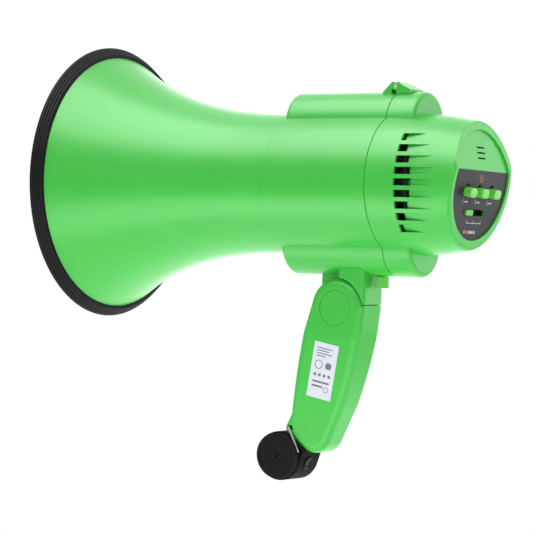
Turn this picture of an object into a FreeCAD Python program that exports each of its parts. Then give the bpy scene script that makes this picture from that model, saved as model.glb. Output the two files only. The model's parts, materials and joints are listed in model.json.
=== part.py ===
import FreeCAD, Part

import math
import os
import re
from types import SimpleNamespace

import Sketcher

# A handheld megaphone with a folding pistol grip.
# Lengths are in millimetres. While it is built, x runs back from the mouth, z up from the
# horn axis, and y to the right of someone who speaks into it from behind. Every finished
# piece is then shifted by the same amount, so that the origin lies in the middle of the grip.

Vector = FreeCAD.Vector
Placement = FreeCAD.Placement
Rotation = FreeCAD.Rotation

doc = FreeCAD.newDocument("megaphone")

# ---------------------------------------------------------------- driving dimensions

SIZES = (
    # horn
    ("mouth_radius", 105.5),
    ("bell_lip_inset", 8.0),
    ("bell_lip_station", 7.4),
    ("bell_front", 3.0),
    ("flare_power", 2.5),
    ("bell_wall", 2.4),
    ("guard_lap", 12.1),
    ("guard_nose", 1.2),
    ("guard_ridge_pitch", 1.5),
    ("guard_ridge_fall", 1.5),
    ("guard_ridge_slope", 0.6),
    ("neck_radius", 52.0),
    ("barrel_front", 174.0),
    ("bulkhead_depth", 6.0),
    ("throat_radius", 9.0),
    ("tube_wall", 2.0),
    ("tube_front", 62.0),
    ("tube_mouth_radius", 17.0),
    ("tube_flange_radius", 19.0),
    ("tube_hub_length", 18.0),
    ("cup_nose", 30.0),
    ("cup_shoulder_radius", 25.0),
    ("cup_back", 126.0),
    ("cup_back_radius", 35.0),
    ("cup_wall", 2.0),
    ("fin_count", 3),
    # driver
    ("driver_radius", 30.0),
    ("clamp_depth", 4.0),
    ("top_plate_depth", 4.0),
    ("magnet_radius", 26.0),
    ("magnet_depth", 14.0),
    ("magnet_bore", 15.0),
    ("yoke_depth", 4.0),
    ("coil_radius", 10.5),
    ("coil_wall", 0.5),
    ("coil_gap", 0.4),
    ("driver_screw_circle", 28.0),
    ("driver_screw_radius", 1.2),
    ("throat_screw_circle", 14.5),
    ("barrel_screw_inset", 9.8),
    # barrel and rear cover
    ("barrel_radius", 52.8),
    ("shell_wall", 2.4),
    ("cover_front", 261.0),
    ("lobe_radius", 24.0),
    ("lobe_axis_height", 43.5),
    ("lobe_wall_height", 18.0),
    ("lobe_back", 284.0),
    ("lobe_edge_fillet", 3.5),
    ("taper_front", 266.0),
    ("taper_middle", 300.0),
    ("taper_crown", 1.41163),
    ("panel_ridge_station", 330.5),
    ("panel_ridge_height", 11.0),
    ("rear_radius", 45.0),
    ("upper_slope", 9.0),
    ("lower_slope", 10.5),
    ("lip_width", 5.0),
    ("panel_recess", 1.5),
    ("rear_edge_fillet", 3.0),
    ("rear_edge_reach", 14.0),
    ("spigot_length", 4.0),
    ("spigot_depth", 2.0),
    ("spigot_height", 32.0),
    ("fit_gap", 0.3),
    ("seam_width", 0.8),
    ("seam_depth", 0.5),
    # vents
    ("vent_station", 284.5),
    ("vent_length", 31.0),
    ("vent_depth", 3.4),
    ("vent_pitch", 8.15),
    ("vent_height", 5.2),
    ("vent_count", 9),
    ("vent_fade", 0.45),
    # batteries
    ("cell_radius", 13.1),
    ("cell_length", 48.5),
    ("cell_rise", 2.0),
    ("cell_cap_radius", 3.3),
    ("cell_cap_depth", 1.5),
    ("sleeve_wall", 1.5),
    ("sleeve_back", 259.0),
    ("contact_depth", 0.5),
    ("contact_radius", 9.0),
    ("contact_spring_radius", 2.6),
    ("contact_spring_wire", 0.6),
    # rear panel
    ("label_depth", 0.3),
    ("label_radius", 39.6),
    ("label_top_gap", 0.9),
    ("switch_pitch", 18.2),
    ("switch_drop", 16.6),
    ("switch_cap_width", 10.0),
    ("switch_cap_height", 7.6),
    ("switch_cap_depth", 6.0),
    ("switch_slot_width", 7.0),
    ("switch_slot_height", 9.6),
    ("switch_slot_rise", 2.2),
    ("slot_rounding", 0.42),
    ("switch_stem_width", 6.0),
    ("switch_stem_height", 5.6),
    ("mode_drop", 31.6),
    ("mode_slot_width", 31.4),
    ("mode_slot_height", 4.8),
    ("mode_knob_width", 9.4),
    ("mode_knob_height", 4.0),
    ("mode_knob_proud", 1.5),
    ("mode_travel", 21.2),
    ("board_drop", 22.0),
    ("board_post_drop", 31.0),
    ("board_post_spread", 23.5),
    ("board_inset", 14.0),
    ("board_width", 56.0),
    ("board_height", 34.0),
    ("board_depth", 1.6),
    ("mic_rise", 12.6),
    ("mic_slot_width", 12.0),
    ("mic_slot_height", 1.2),
    ("mic_slot_pitch", 3.9),
    ("mic_radius", 4.85),
    ("mic_depth", 6.5),
    ("mic_boot_wall", 1.6),
    # amplifier
    ("amplifier_station", 286.0),
    ("amplifier_width", 76.0),
    ("amplifier_height", 46.0),
    ("pillar_spread", 33.0),
    ("pillar_radius", 3.0),
    # latch
    ("latch_width", 20.0),
    ("latch_front", 250.0),
    ("latch_peak", 260.6),
    ("latch_back", 272.5),
    ("latch_rise", 7.5),
    ("latch_pin_rise", 3.6),
    ("latch_pin_radius", 1.4),
    ("latch_ear_width", 3.0),
    ("latch_eye_radius", 2.8),
    ("latch_foot_gap", 3.4),
    ("latch_cheek", 2.4),
    # volume control
    ("volume_station", 248.4),
    ("volume_knob_radius", 5.0),
    ("volume_knob_height", 8.2),
    ("volume_shaft_radius", 3.0),
    ("volume_body_radius", 6.0),
    ("volume_body_height", 4.8),
    ("volume_bush_height", 0.8),
    # bracket and handle
    ("pivot_station", 218.0),
    ("pivot_reach", 24.3),
    ("handle_head_radius", 21.9),
    ("bracket_arc_radius", 22.6),
    ("bracket_front", 221.0),
    ("bracket_back", 241.3),
    ("bracket_base_rise", 3.2),
    ("tongue_front", 200.5),
    ("tongue_half_width", 6.0),
    ("tongue_tip_radius", 14.0),
    ("hinge_slot_drop", 11.0),
    ("washer_depth", 0.4),
    ("washer_radius", 10.0),
    ("bolt_radius", 3.0),
    ("bolt_head_radius", 6.0),
    ("bolt_head_depth", 3.5),
    ("running_gap", 0.05),
    ("pivot_cap_radius", 13.0),
    ("pivot_cap_depth", 1.4),
    ("handle_half_width", 16.0),
    ("handle_foot_half_width", 12.0),
    ("handle_foot_fall", 107.8),
    ("handle_wall", 2.4),
    ("handle_edge_fillet", 5.5),
    ("grip_station", 209.0),
    ("grip_fall", 54.2),
    ("strap_hole_station", 180.5),
    ("strap_hole_fall", 90.6),
    ("strap_hole_radius", 2.2),
    # trigger
    ("trigger_half_width", 5.6),
    ("trigger_gap", 0.4),
    ("trigger_pin_station", 197.5),
    ("trigger_pin_fall", 16.7),
    ("trigger_pin_radius", 1.5),
    ("trigger_pin_half_length", 9.5),
    ("trigger_window_rise", 2.6),
    ("trigger_window_length", 40.3),
    ("trigger_window_depth", 18.0),
    ("spring_wire_radius", 0.4),
    ("spring_coil_radius", 2.5),
    ("switch_station", 199.5),
    ("switch_body_fall", 45.2),
    ("switch_half_width", 3.2),
    # sticker
    ("sticker_station", 208.7),
    ("sticker_fall", 46.8),
    ("sticker_width", 21.0),
    ("sticker_length", 41.5),
    ("sticker_rake", 10.5),
    ("sticker_depth", 0.15),
    # strap
    ("ring_wire_radius", 0.9),
    ("ring_half_width", 14.3),
    ("ring_length", 19.0),
    ("roll_station", 171.6),
    ("roll_fall", 111.6),
    ("roll_radius", 18.2),
    ("roll_far_radius", 17.0),
    ("strap_half_width", 12.6),
    ("strap_bight_radius", 3.2),
    ("roll_front_y", 16.5),
    ("roll_back_y", 14.5),
    ("snap_radius", 5.0),
)

sheet = doc.addObject("Spreadsheet::Sheet", "Sizes")
for row, (alias, value) in enumerate(SIZES, start=1):
    sheet.set(f"A{row}", alias)
    sheet.set(f"B{row}", str(value))
    sheet.setAlias(f"B{row}", alias)
doc.recompute()

size = SimpleNamespace(**{alias: float(sheet.get(alias)) for alias, _ in SIZES})

# How far below the horn axis the fold axis lies, and what hangs from it.
PIVOT_DROP = size.lobe_axis_height + size.lobe_radius + size.pivot_reach
BRACKET_BASE_DROP = PIVOT_DROP - size.bracket_base_rise
TRIGGER_PIN_DROP = PIVOT_DROP + size.trigger_pin_fall
SWITCH_BODY_DROP = PIVOT_DROP + size.switch_body_fall
GRIP_DROP = PIVOT_DROP + size.grip_fall
EYE_DROP = PIVOT_DROP + size.strap_hole_fall
FOOT_DROP = PIVOT_DROP + size.handle_foot_fall
ROLL_DROP = PIVOT_DROP + size.roll_fall

ALIAS = re.compile(r"[a-z]+(?:_[a-z]+)+")


def expression(words):
    """The same words with each size pointing at its cell."""
    return ALIAS.sub(lambda found: f"Sizes.{found.group(0)}", words)


def bind(thing, **properties):
    """Bind properties of an object to expressions of the sheet's sizes."""
    for name, words in properties.items():
        thing.setExpression(name, expression(words))
    return thing


# ---------------------------------------------------------------- building blocks

nodes = []
GRIP = Vector(-size.grip_station, 0, GRIP_DROP)


def finish(thing, label):
    """Name a finished piece and shift it into the part's own frame."""
    if any("Placement" in path for path, _ in thing.ExpressionEngine):
        holder = doc.addObject("Part::Compound", f"{label}_holder")
        holder.Links = [thing]
        thing = holder
    thing.Label = label
    thing.Placement = Placement(GRIP, Rotation())
    nodes.append(thing)
    return thing


def part(kind, name):
    return doc.addObject(f"Part::{kind}", name)


def at(thing, x="0 mm", y="0 mm", z="0 mm"):
    """Bind the place of a primitive or body."""
    for axis, words in (("x", x), ("y", y), ("z", z)):
        if words != "0 mm":
            thing.setExpression(f"Placement.Base.{axis}", expression(words))
    return thing


ALONG_X = Rotation(Vector(0, 1, 0), 90)
ALONG_Y = Rotation(Vector(1, 0, 0), -90)


def rod(name, radius, length, x="0 mm", y="0 mm", z="0 mm", along=ALONG_X):
    """A cylinder whose axis starts at x, y, z."""
    thing = bind(part("Cylinder", name), Radius=radius, Height=length)
    thing.Placement = Placement(Vector(), along)
    return at(thing, x, y, z)


def block(name, length, width, height, x="0 mm", y="0 mm", z="0 mm"):
    """A box whose low corner is at x, y, z."""
    return at(bind(part("Box", name), Length=length, Width=width, Height=height), x, y, z)


def fuse(name, *pieces):
    thing = part("MultiFuse", name)
    thing.Shapes = list(pieces)
    thing.Refine = True
    return thing


def cut(name, base, *tools):
    thing = part("Cut", name)
    thing.Base = base
    thing.Tool = tools[0] if len(tools) == 1 else fuse(f"{name}_tools", *tools)
    thing.Refine = True
    return thing


def common(name, first, second):
    thing = part("Common", name)
    thing.Base = first
    thing.Tool = second
    return thing


def rounded(name, base, radius, chosen):
    """Round the edges of a solid for which chosen(edge) is true."""
    doc.recompute()
    thing = part("Fillet", name)
    thing.Base = base
    edges = enumerate(base.Shape.Edges, start=1)
    thing.Edges = [(index, radius, radius) for index, edge in edges if chosen(edge)]
    return thing


def shaped(name, shape):
    """A piece whose outline is a formula, made from the sheet's values."""
    thing = part("Feature", name)
    thing.Shape = Part.makeCompound([shape])
    return thing


def origin_plane(body, role):
    return next(item for item in body.Origin.OriginFeatures if item.Role == role)


def outline_sketch(body, role, corners):
    """A closed polygon, each corner held by its two distances from the origin."""
    sketch = body.newObject("Sketcher::SketchObject", f"{body.Name}_outline")
    sketch.AttachmentSupport = [(origin_plane(body, role), "")]
    sketch.MapMode = "FlatFace"
    count = len(corners)
    for index in range(count):
        turn = 2 * math.pi * index / count
        after = 2 * math.pi * (index + 1) / count
        first = Vector(100 * math.cos(turn), 100 * math.sin(turn), 0)
        last = Vector(100 * math.cos(after), 100 * math.sin(after), 0)
        sketch.addGeometry(Part.LineSegment(first, last), False)
    for index in range(count):
        sketch.addConstraint(Sketcher.Constraint("Coincident", index, 2, (index + 1) % count, 1))
    for index, corner in enumerate(corners):
        for kind, words in zip(("DistanceX", "DistanceY"), corner):
            number = sketch.addConstraint(Sketcher.Constraint(kind, -1, 1, index, 1, 10.0))
            sketch.setExpression(f"Constraints[{number}]", expression(words))
    return sketch


def turned(label, corners):
    """A body turned about the horn axis from a polygon of stations and radii."""
    body = doc.addObject("PartDesign::Body", label)
    sketch = outline_sketch(body, "XZ_Plane", corners)
    revolution = body.newObject("PartDesign::Revolution", f"{label}_turn")
    revolution.Profile = sketch
    revolution.ReferenceAxis = (sketch, ["H_Axis"])
    revolution.Angle = 360.0
    body.Tip = revolution
    sketch.Visibility = False
    return body


def tube(label, front, back, outer, inner):
    return turned(label, [(front, inner), (front, outer), (back, outer), (back, inner)])


def extruded(label, role, corners, depth):
    """A body padded equally to both sides of one of its own origin planes."""
    body = doc.addObject("PartDesign::Body", label)
    sketch = outline_sketch(body, role, corners)
    pad = body.newObject("PartDesign::Pad", f"{label}_pad")
    pad.Profile = sketch
    pad.Midplane = True
    bind(pad, Length=depth)
    body.Tip = pad
    return body


def solid_of(face, direction):
    return face.extrude(direction)


def polygon_face(points):
    return Part.Face(Part.makePolygon(list(points) + [points[0]]))


# ---------------------------------------------------------------- horn

# Each ring of screws: its radius, and the angles in degrees from the right.
SCREW_RINGS = {
    "driver": (size.driver_screw_circle, (45, 135, 225, 315)),
    "throat": (size.throat_screw_circle, (90, 210, 330)),
    "barrel": (size.barrel_radius - size.barrel_screw_inset, (-18, 18, 162, 198)),
}
SCREW_FLOOR = 1.0


def flare(station):
    """Outer radius of the bell: a power law that leaves the neck tangent to it."""
    share = (size.barrel_front - station) / (size.barrel_front - size.bell_lip_station)
    lip_radius = size.mouth_radius - size.bell_lip_inset
    return size.neck_radius + (lip_radius - size.neck_radius) * share**size.flare_power


def flare_curve(first, last, inset):
    """A smooth line along the bell, inset from its outer face."""
    steps = 12
    stations = [first + (last - first) * index / steps for index in range(steps + 1)]
    curve = Part.BSplineCurve()
    curve.interpolate([Vector(station, 0, flare(station) - inset) for station in stations])
    return curve.toShape()


def horn_bell():
    """Bell with a closed bulkhead at its neck, drilled for the throat and the screws."""
    front = size.bell_front
    back = size.barrel_front
    inside = back - size.bulkhead_depth
    outer = flare_curve(front, back, 0.0)
    inner = flare_curve(front, inside, size.bell_wall)
    corners = [
        Vector(back, 0, size.neck_radius),
        Vector(back, 0, size.throat_radius),
        Vector(inside, 0, size.throat_radius),
        Vector(inside, 0, flare(inside) - size.bell_wall),
    ]
    edges = [outer] + [Part.makeLine(a, b) for a, b in zip(corners, corners[1:])]
    edges.append(inner)
    rim = (Vector(front, 0, flare(front) - size.bell_wall), Vector(front, 0, flare(front)))
    edges.append(Part.makeLine(*rim))
    wire = Part.Wire(Part.__sortEdges__(edges))
    bell = Part.Face(wire).revolve(Vector(), Vector(1, 0, 0), 360)
    for ring, (circle, angles) in SCREW_RINGS.items():
        start = inside - 1 if ring == "throat" else inside + SCREW_FLOOR
        for hole in rods_on(circle, angles, start, back, size.driver_screw_radius):
            bell = bell.cut(hole)
    return bell.removeSplitter()


def rods_on(circle, angles, front, back, radius):
    """Straight rods parallel to the horn axis, at the given angles on a circle."""
    rods = []
    for angle in map(math.radians, angles):
        place = Vector(front, circle * math.cos(angle), circle * math.sin(angle))
        rods.append(Part.makeCylinder(radius, back - front, place, Vector(1, 0, 0)))
    return rods


def screws_on(ring, front, back, head_radius, head_depth):
    """Screws whose shanks run from front to back, with flat heads behind."""
    circle, angles = SCREW_RINGS[ring]
    shanks = rods_on(circle, angles, front, back, size.driver_screw_radius)
    heads = rods_on(circle, angles, back, back + head_depth, head_radius)
    return Part.makeCompound([shank.fuse(head) for shank, head in zip(shanks, heads)])


def rim_guard(bell):
    """Ribbed rubber ring moulded round the lip of the bell."""
    corners = [
        ("0 mm", "mouth_radius - guard_lap + bell_wall"),
        ("0 mm", "mouth_radius - 0.4"),
        ("0.4", "mouth_radius"),
    ]
    last = 3
    for index in range(last + 1):
        station = f"guard_nose + {index} * guard_ridge_pitch"
        after = f"guard_nose + {index + 1} * guard_ridge_pitch"
        radius = f"mouth_radius - guard_ridge_slope - {index} * guard_ridge_fall"
        corners.append((station, radius))
        end = after if index < last else "bell_lip_station + 0.4"
        corners.append((end, radius + " - guard_ridge_slope"))
    corners += [
        ("bell_lip_station + 0.4", "mouth_radius - bell_lip_inset - bell_wall / 2"),
        ("bell_front + bell_wall", "mouth_radius - bell_lip_inset - bell_wall / 2"),
        ("bell_front + bell_wall", "mouth_radius - guard_lap"),
    ]
    ring = turned("guard_ring", corners)
    return finish(cut("guard_cut", ring, shaped("bell_form", bell)), "rim_guard")


def throat_tube():
    """Tapered tube from the driver to the re-entrant cup, with a screwed flange."""
    flange_front = "barrel_front - bulkhead_depth - 3"
    wall_back = "barrel_front - bulkhead_depth"
    hub_back = "tube_front + tube_hub_length"
    body = turned(
        "throat_body",
        [
            (wall_back, "throat_radius"),
            (wall_back, "tube_flange_radius"),
            (flange_front, "tube_flange_radius"),
            (flange_front, "throat_radius + tube_wall"),
            (hub_back, "tube_mouth_radius + tube_wall"),
            ("tube_front", "tube_mouth_radius + tube_wall"),
            ("tube_front", "tube_mouth_radius"),
            (hub_back, "tube_mouth_radius"),
        ],
    )
    circle, angles = SCREW_RINGS["throat"]
    front = size.barrel_front - size.bulkhead_depth - 2
    holes = rods_on(circle, angles, front, size.barrel_front, size.driver_screw_radius)
    tool = shaped("throat_holes", Part.makeCompound(holes))
    return finish(cut("throat_cut", body, tool), "throat_tube")


def reflector_cup():
    """Blunt cup that turns the sound back, on three fins that grip the throat tube."""
    shoulder = "cup_nose + cup_shoulder_radius"
    cup = turned(
        "cup_shell",
        [
            ("cup_nose", "0 mm"),
            ("cup_nose + 2.5", "cup_shoulder_radius / 2"),
            ("cup_nose + 9", "cup_shoulder_radius * 0.82"),
            (shoulder, "cup_shoulder_radius + 2"),
            ("cup_back", "cup_back_radius"),
            ("cup_back", "cup_back_radius - cup_wall"),
            (shoulder, "cup_shoulder_radius + 2 - cup_wall"),
            ("cup_nose + 11", "cup_shoulder_radius * 0.82 - cup_wall"),
            ("cup_nose + 5", "cup_shoulder_radius / 2 - cup_wall"),
            ("cup_nose + 12", "0 mm"),
        ],
    )
    hub_outer = "tube_mouth_radius + tube_wall + 2"
    hub_back = "tube_front + tube_hub_length"
    hub = tube("cup_hub", "tube_front", hub_back, hub_outer, "tube_mouth_radius + tube_wall")
    fins = []
    for index in range(int(size.fin_count)):
        fin = block("fin", "tube_hub_length", "2.4", "11", x="tube_front", y="-1.2", z=hub_outer + " - 1")
        holder = common("fin_kept", fin, rod("fin_limit", "cup_shoulder_radius + 2.2", "200"))
        turn = Rotation(Vector(1, 0, 0), 90 + 360 * index / size.fin_count)
        holder.Placement = Placement(Vector(), turn)
        fins.append(holder)
    return finish(fuse("cup_fused", cup, hub, *fins), "reflector_cup")


# ---------------------------------------------------------------- driver

CLAMP_BACK = "barrel_front + clamp_depth"
PLATE_BACK = CLAMP_BACK + " + top_plate_depth"
MAGNET_BACK = PLATE_BACK + " + magnet_depth"
YOKE_BACK = MAGNET_BACK + " + yoke_depth"


def with_screw_holes(name, base):
    """Drill a driver plate for its four screws."""
    circle, angles = SCREW_RINGS["driver"]
    back = size.barrel_front + size.clamp_depth + size.top_plate_depth + 1
    radius = size.driver_screw_radius + size.running_gap
    holes = rods_on(circle, angles, size.barrel_front - 1, back, radius)
    return cut(name, base, shaped(f"{name}_holes", Part.makeCompound(holes)))


def driver():
    """The compression driver, piece by piece from the diaphragm back."""
    clamp = tube("clamp", "barrel_front", CLAMP_BACK, "driver_radius", "driver_radius - 6")
    finish(with_screw_holes("clamp_drilled", clamp), "diaphragm_clamp")
    skin = "0.6"
    middle = "barrel_front + clamp_depth / 2"
    dome = turned(
        "dome",
        [
            (middle, "driver_radius - 6"),
            (middle + " + " + skin, "driver_radius - 6"),
            (middle + " + " + skin, "coil_radius + coil_wall"),
            (middle + " - 0.4", "coil_radius / 2"),
            (middle + " - 0.9", "0 mm"),
            (middle + " - 1.5", "0 mm"),
            (middle + " - 1.0", "coil_radius / 2"),
            (middle, "coil_radius"),
        ],
    )
    finish(dome, "diaphragm")
    coil_front = middle + " + " + skin
    finish(
        tube("coil", coil_front, PLATE_BACK + " + 1", "coil_radius + coil_wall", "coil_radius"),
        "voice_coil",
    )
    plate = tube(
        "plate", CLAMP_BACK, PLATE_BACK, "driver_radius", "coil_radius + coil_wall + coil_gap"
    )
    finish(with_screw_holes("plate_drilled", plate), "driver_top_plate")
    finish(tube("magnet", PLATE_BACK, MAGNET_BACK, "magnet_radius", "magnet_bore"), "driver_magnet")
    pole = "coil_radius - coil_gap"
    yoke = turned(
        "yoke",
        [
            (CLAMP_BACK + " + 0.3", "0 mm"),
            (CLAMP_BACK + " + 0.3", pole),
            (MAGNET_BACK, pole),
            (MAGNET_BACK, "magnet_radius"),
            (YOKE_BACK, "magnet_radius"),
            (YOKE_BACK, "0 mm"),
        ],
    )
    finish(yoke, "driver_yoke")
    front = size.barrel_front - size.bulkhead_depth + SCREW_FLOOR
    back = size.barrel_front + size.clamp_depth + size.top_plate_depth
    finish(shaped("driver_screw_set", screws_on("driver", front, back, 2.0, 1.6)), "driver_screws")
    throat_front = size.barrel_front - size.bulkhead_depth - 2
    throat_set = screws_on("throat", throat_front, size.barrel_front, 1.8, 1.0)
    finish(shaped("throat_screw_set", throat_set), "throat_screws")
    back = size.barrel_front + size.shell_wall
    finish(shaped("barrel_screw_set", screws_on("barrel", front, back, 2.4, 1.8)), "barrel_screws")


# ---------------------------------------------------------------- barrel and rear cover


LOBE_CREST = "lobe_axis_height + lobe_radius"


def lobe(name, front, back, inset, side):
    """One battery lobe: a rounded bar that runs into the barrel. side is 1 on top, -1 below."""
    radius = f"lobe_radius - {inset}"
    length = f"{back} - ({front})"
    height = "lobe_axis_height" if side > 0 else "-lobe_axis_height"
    bar = rod(f"{name}_bar", radius, length, x=front, z=height)
    low = "lobe_axis_height - lobe_wall_height" if side > 0 else "-lobe_axis_height"
    width = f"2 * ({radius})"
    wall = block(f"{name}_wall", length, width, "lobe_wall_height", x=front, y=f"-({radius})", z=low)
    return fuse(name, bar, wall)


def on_station(edge, station):
    """True for an edge that lies in the plane of that station."""
    box = edge.BoundBox
    return abs(box.XMin - station) < 0.01 and abs(box.XMax - station) < 0.01


def outer_lobe(name, front, back, side, station):
    """A lobe whose far end is rounded at the given station."""
    raw = lobe(name, front, back, "0", side)
    inner_face = side * (size.lobe_axis_height - size.lobe_wall_height)
    return rounded(
        f"{name}_round",
        raw,
        size.lobe_edge_fillet,
        lambda edge: on_station(edge, station)
        and max(abs(v.Z) for v in edge.Vertexes) > abs(inner_face) + 0.01,
    )


def battery_axis(side):
    return "lobe_axis_height + cell_rise" if side > 0 else "-lobe_axis_height - cell_rise"


def barrel_shell():
    """Barrel with its two battery lobes, the latch ears and the hole for the volume shaft."""
    length = "cover_front - barrel_front"
    outer = rod("barrel_outer", "barrel_radius", length, x="barrel_front")
    lobes = [
        outer_lobe(f"barrel_lobe_{side + 1}", "barrel_front", "cover_front", side, size.barrel_front)
        for side in (1, -1)
    ]
    inside_front = "barrel_front + shell_wall"
    room = rod("barrel_room", "barrel_radius - shell_wall", length, x=inside_front)
    seat = rod("barrel_seat", "driver_radius + fit_gap", "20", x="barrel_front - 1")
    hollows = [
        lobe(f"barrel_hollow_{side + 1}", inside_front, "cover_front + 1", "shell_wall", side)
        for side in (1, -1)
    ]
    ears = latch_ears()
    shaft = rod(
        "volume_hole",
        "volume_shaft_radius + running_gap",
        "12",
        x="volume_station",
        z="-lobe_axis_height - lobe_radius - 2",
        along=Rotation(),
    )
    pin = latch_rod("ear_pin_hole", "latch_pin_radius", "latch_width + 2")
    circle, angles = SCREW_RINGS["barrel"]
    front = size.barrel_front
    front_holes = rods_on(circle, angles, front - 1, front + 5, size.driver_screw_radius)
    holes = shaped("barrel_holes", Part.makeCompound(front_holes + [bracket_screw_holes()]))
    shell = fuse("barrel_solid", outer, *lobes, ears)
    return finish(cut("barrel_cut", shell, room, seat, shaft, pin, holes, *hollows), "barrel_shell")


def latch_ears():
    """Wedge on the barrel's top lobe, with an ear each side that carries the latch pin."""
    crest = LOBE_CREST
    corners = [
        ("latch_front", crest + " - 0.4"),
        ("latch_peak - 3", crest + " + latch_rise - 0.4"),
        ("latch_peak - 1.8", crest + " + latch_rise - 0.4"),
        ("latch_peak", crest + " + latch_pin_rise + latch_eye_radius"),
        ("latch_peak", crest + " + 1.6"),
        ("latch_peak - latch_foot_gap", crest + " + 1.6"),
        ("latch_peak - latch_foot_gap", crest + " - 2.8"),
        ("latch_front", crest + " - 2.8"),
    ]
    wedge = extruded("wedge", "XZ_Plane", corners, "latch_width")
    eyes = latch_rod("latch_eyes", "latch_eye_radius", "latch_width")
    knuckle_width = "latch_width - 2 * latch_ear_width"
    room = block(
        "knuckle_room",
        "20",
        knuckle_width,
        "12",
        x="latch_peak - latch_eye_radius - 1.6",
        y="-(latch_width / 2 - latch_ear_width)",
        z=crest,
    )
    return cut("ears", fuse("ears_solid", wedge, eyes), room)


def latch_rod(name, radius, length):
    """A rod along the latch pin's axis, centred on the lobe."""
    return rod(
        name,
        radius,
        length,
        x="latch_peak",
        y=f"-({length}) / 2",
        z=LOBE_CREST + " + latch_pin_rise",
        along=ALONG_Y,
    )


def panel_cut(depth, slope_sign):
    """A slab that removes all behind one plane of the rear face, set in by depth."""
    slope = size.upper_slope if slope_sign > 0 else -size.lower_slope
    turn = Rotation(Vector(0, 1, 0), -slope)
    ridge = Vector(size.panel_ridge_station, 0, size.panel_ridge_height)
    reach = 120.0
    low = -5.0 if slope_sign > 0 else -reach
    high = reach if slope_sign > 0 else 5.0
    slab = Part.makeBox(reach, 2 * reach, high - low, Vector(-depth, -reach, low))
    slab.Placement = Placement(ridge, turn)
    return slab


def behind_face(depth):
    """All the space behind the two-plane rear face, set in by depth."""
    return panel_cut(depth, 1).fuse(panel_cut(depth, -1))


def taper_arc(inset):
    """Side view of the cover's taper, which crowns above the straight line to the rear."""
    start = Vector(size.taper_front, 0, size.barrel_radius - inset)
    end = Vector(size.panel_ridge_station, 0, size.rear_radius - inset)
    share = (size.taper_middle - size.taper_front) / (size.panel_ridge_station - size.taper_front)
    middle = start + (end - start) * share + Vector(0, 0, size.taper_crown)
    return Part.Arc(start, middle, end)


def taper_radius(station):
    """The cover's outer radius at a station along its taper."""
    circle = taper_arc(0.0).toShape().Curve
    across = station - circle.Center.x
    return circle.Center.z + math.sqrt(circle.Radius**2 - across**2)


def taper(inset, back):
    """Solid of the cover: a short cylinder that crowns over and narrows to the rear."""
    front = size.cover_front
    arc = taper_arc(inset)
    start, end = arc.StartPoint, arc.EndPoint
    corners = [
        end,
        Vector(back, 0, end.z),
        Vector(back, 0, 0),
        Vector(front, 0, 0),
        Vector(front, 0, start.z),
        start,
    ]
    edges = [arc.toShape()] + [Part.makeLine(a, b) for a, b in zip(corners, corners[1:])]
    face = Part.Face(Part.Wire(Part.__sortEdges__(edges)))
    return face.revolve(Vector(), Vector(1, 0, 0), 360)


def vent_cutter():
    """Ramped recesses that open at their front ends, in level rows on both sides."""
    front = size.vent_station
    rise = 3.0
    middle = (size.vent_count - 1) / 2
    rows = []
    for index in range(int(size.vent_count)):
        height = (index - middle) * size.vent_pitch
        share = 1 - size.vent_fade * ((index - middle) / middle) ** 2
        back = front + share * size.vent_length
        shallow = taper_radius(front) - size.vent_depth * (0.5 + 0.5 * share)
        deep = Vector(front, 0, shallow)
        end = Vector(back, 0, taper_radius(back))
        past = end + (end - deep) * 0.1
        ramp = [deep, past, Vector(past.x, 0, end.z + rise), Vector(front, 0, end.z + 2 * rise)]
        wedge = polygon_face(ramp).revolve(Vector(), Vector(1, 0, 0), 360)
        corner = Vector(front, -120, height - size.vent_height / 2)
        rows.append(wedge.common(Part.makeBox(size.vent_length + 6, 240, size.vent_height, corner)))
    return Part.makeCompound(rows)


def on_panel(x, y, z, slope_sign=-1):
    """A point given as depth behind the ridge, side and rise along a panel plane."""
    slope = size.upper_slope if slope_sign > 0 else -size.lower_slope
    turn = Rotation(Vector(0, 1, 0), -slope)
    ridge = Vector(size.panel_ridge_station, 0, size.panel_ridge_height)
    return Placement(ridge + turn.multVec(Vector(x, y, z)), turn)


def panel_box(depth_from, depth_to, centre_y, width, low, high, slope_sign=-1):
    """A box square to a panel plane; depths are measured inwards from the lip."""
    box = Part.makeBox(depth_to - depth_from, width, high - low)
    box.Placement = on_panel(-depth_to, centre_y - width / 2, low, slope_sign)
    return box


def round_corners(block, length, radius):
    """Rounds the edges of a block that have the given length."""
    corners = [edge for edge in block.Edges if abs(edge.Length - length) < 0.001]
    return block.makeFillet(radius, corners)


def rounded_slot(depth, centre_y, width, low, high, slope_sign=-1):
    """A slot with rounded corners, cut square to a panel plane from 1 mm in front of it."""
    slot = panel_box(-1, depth, centre_y, width, low, high, slope_sign)
    return round_corners(slot, depth + 1, size.slot_rounding * min(width, high - low))


def panel_slots():
    """The openings in the rear face for the switches, the mode knob and the microphone."""
    through = size.panel_recess + size.shell_wall + 2
    tools = []
    low = -size.switch_drop - size.switch_slot_height / 2 + size.switch_slot_rise / 2
    high = low + size.switch_slot_height
    for column in (-1, 0, 1):
        y = column * size.switch_pitch
        tools.append(rounded_slot(through, y, size.switch_slot_width, low, high))
    half = size.mode_slot_height / 2
    ends = (-size.mode_drop - half, -size.mode_drop + half)
    tools.append(rounded_slot(through, 0, size.mode_slot_width, *ends))
    for row in (-1, 0, 1):
        middle = size.mic_rise + row * size.mic_slot_pitch
        half = size.mic_slot_height / 2
        slot = (middle - half, middle + half)
        tools.append(rounded_slot(through, 0, size.mic_slot_width, *slot, slope_sign=1))
    return tools


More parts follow.
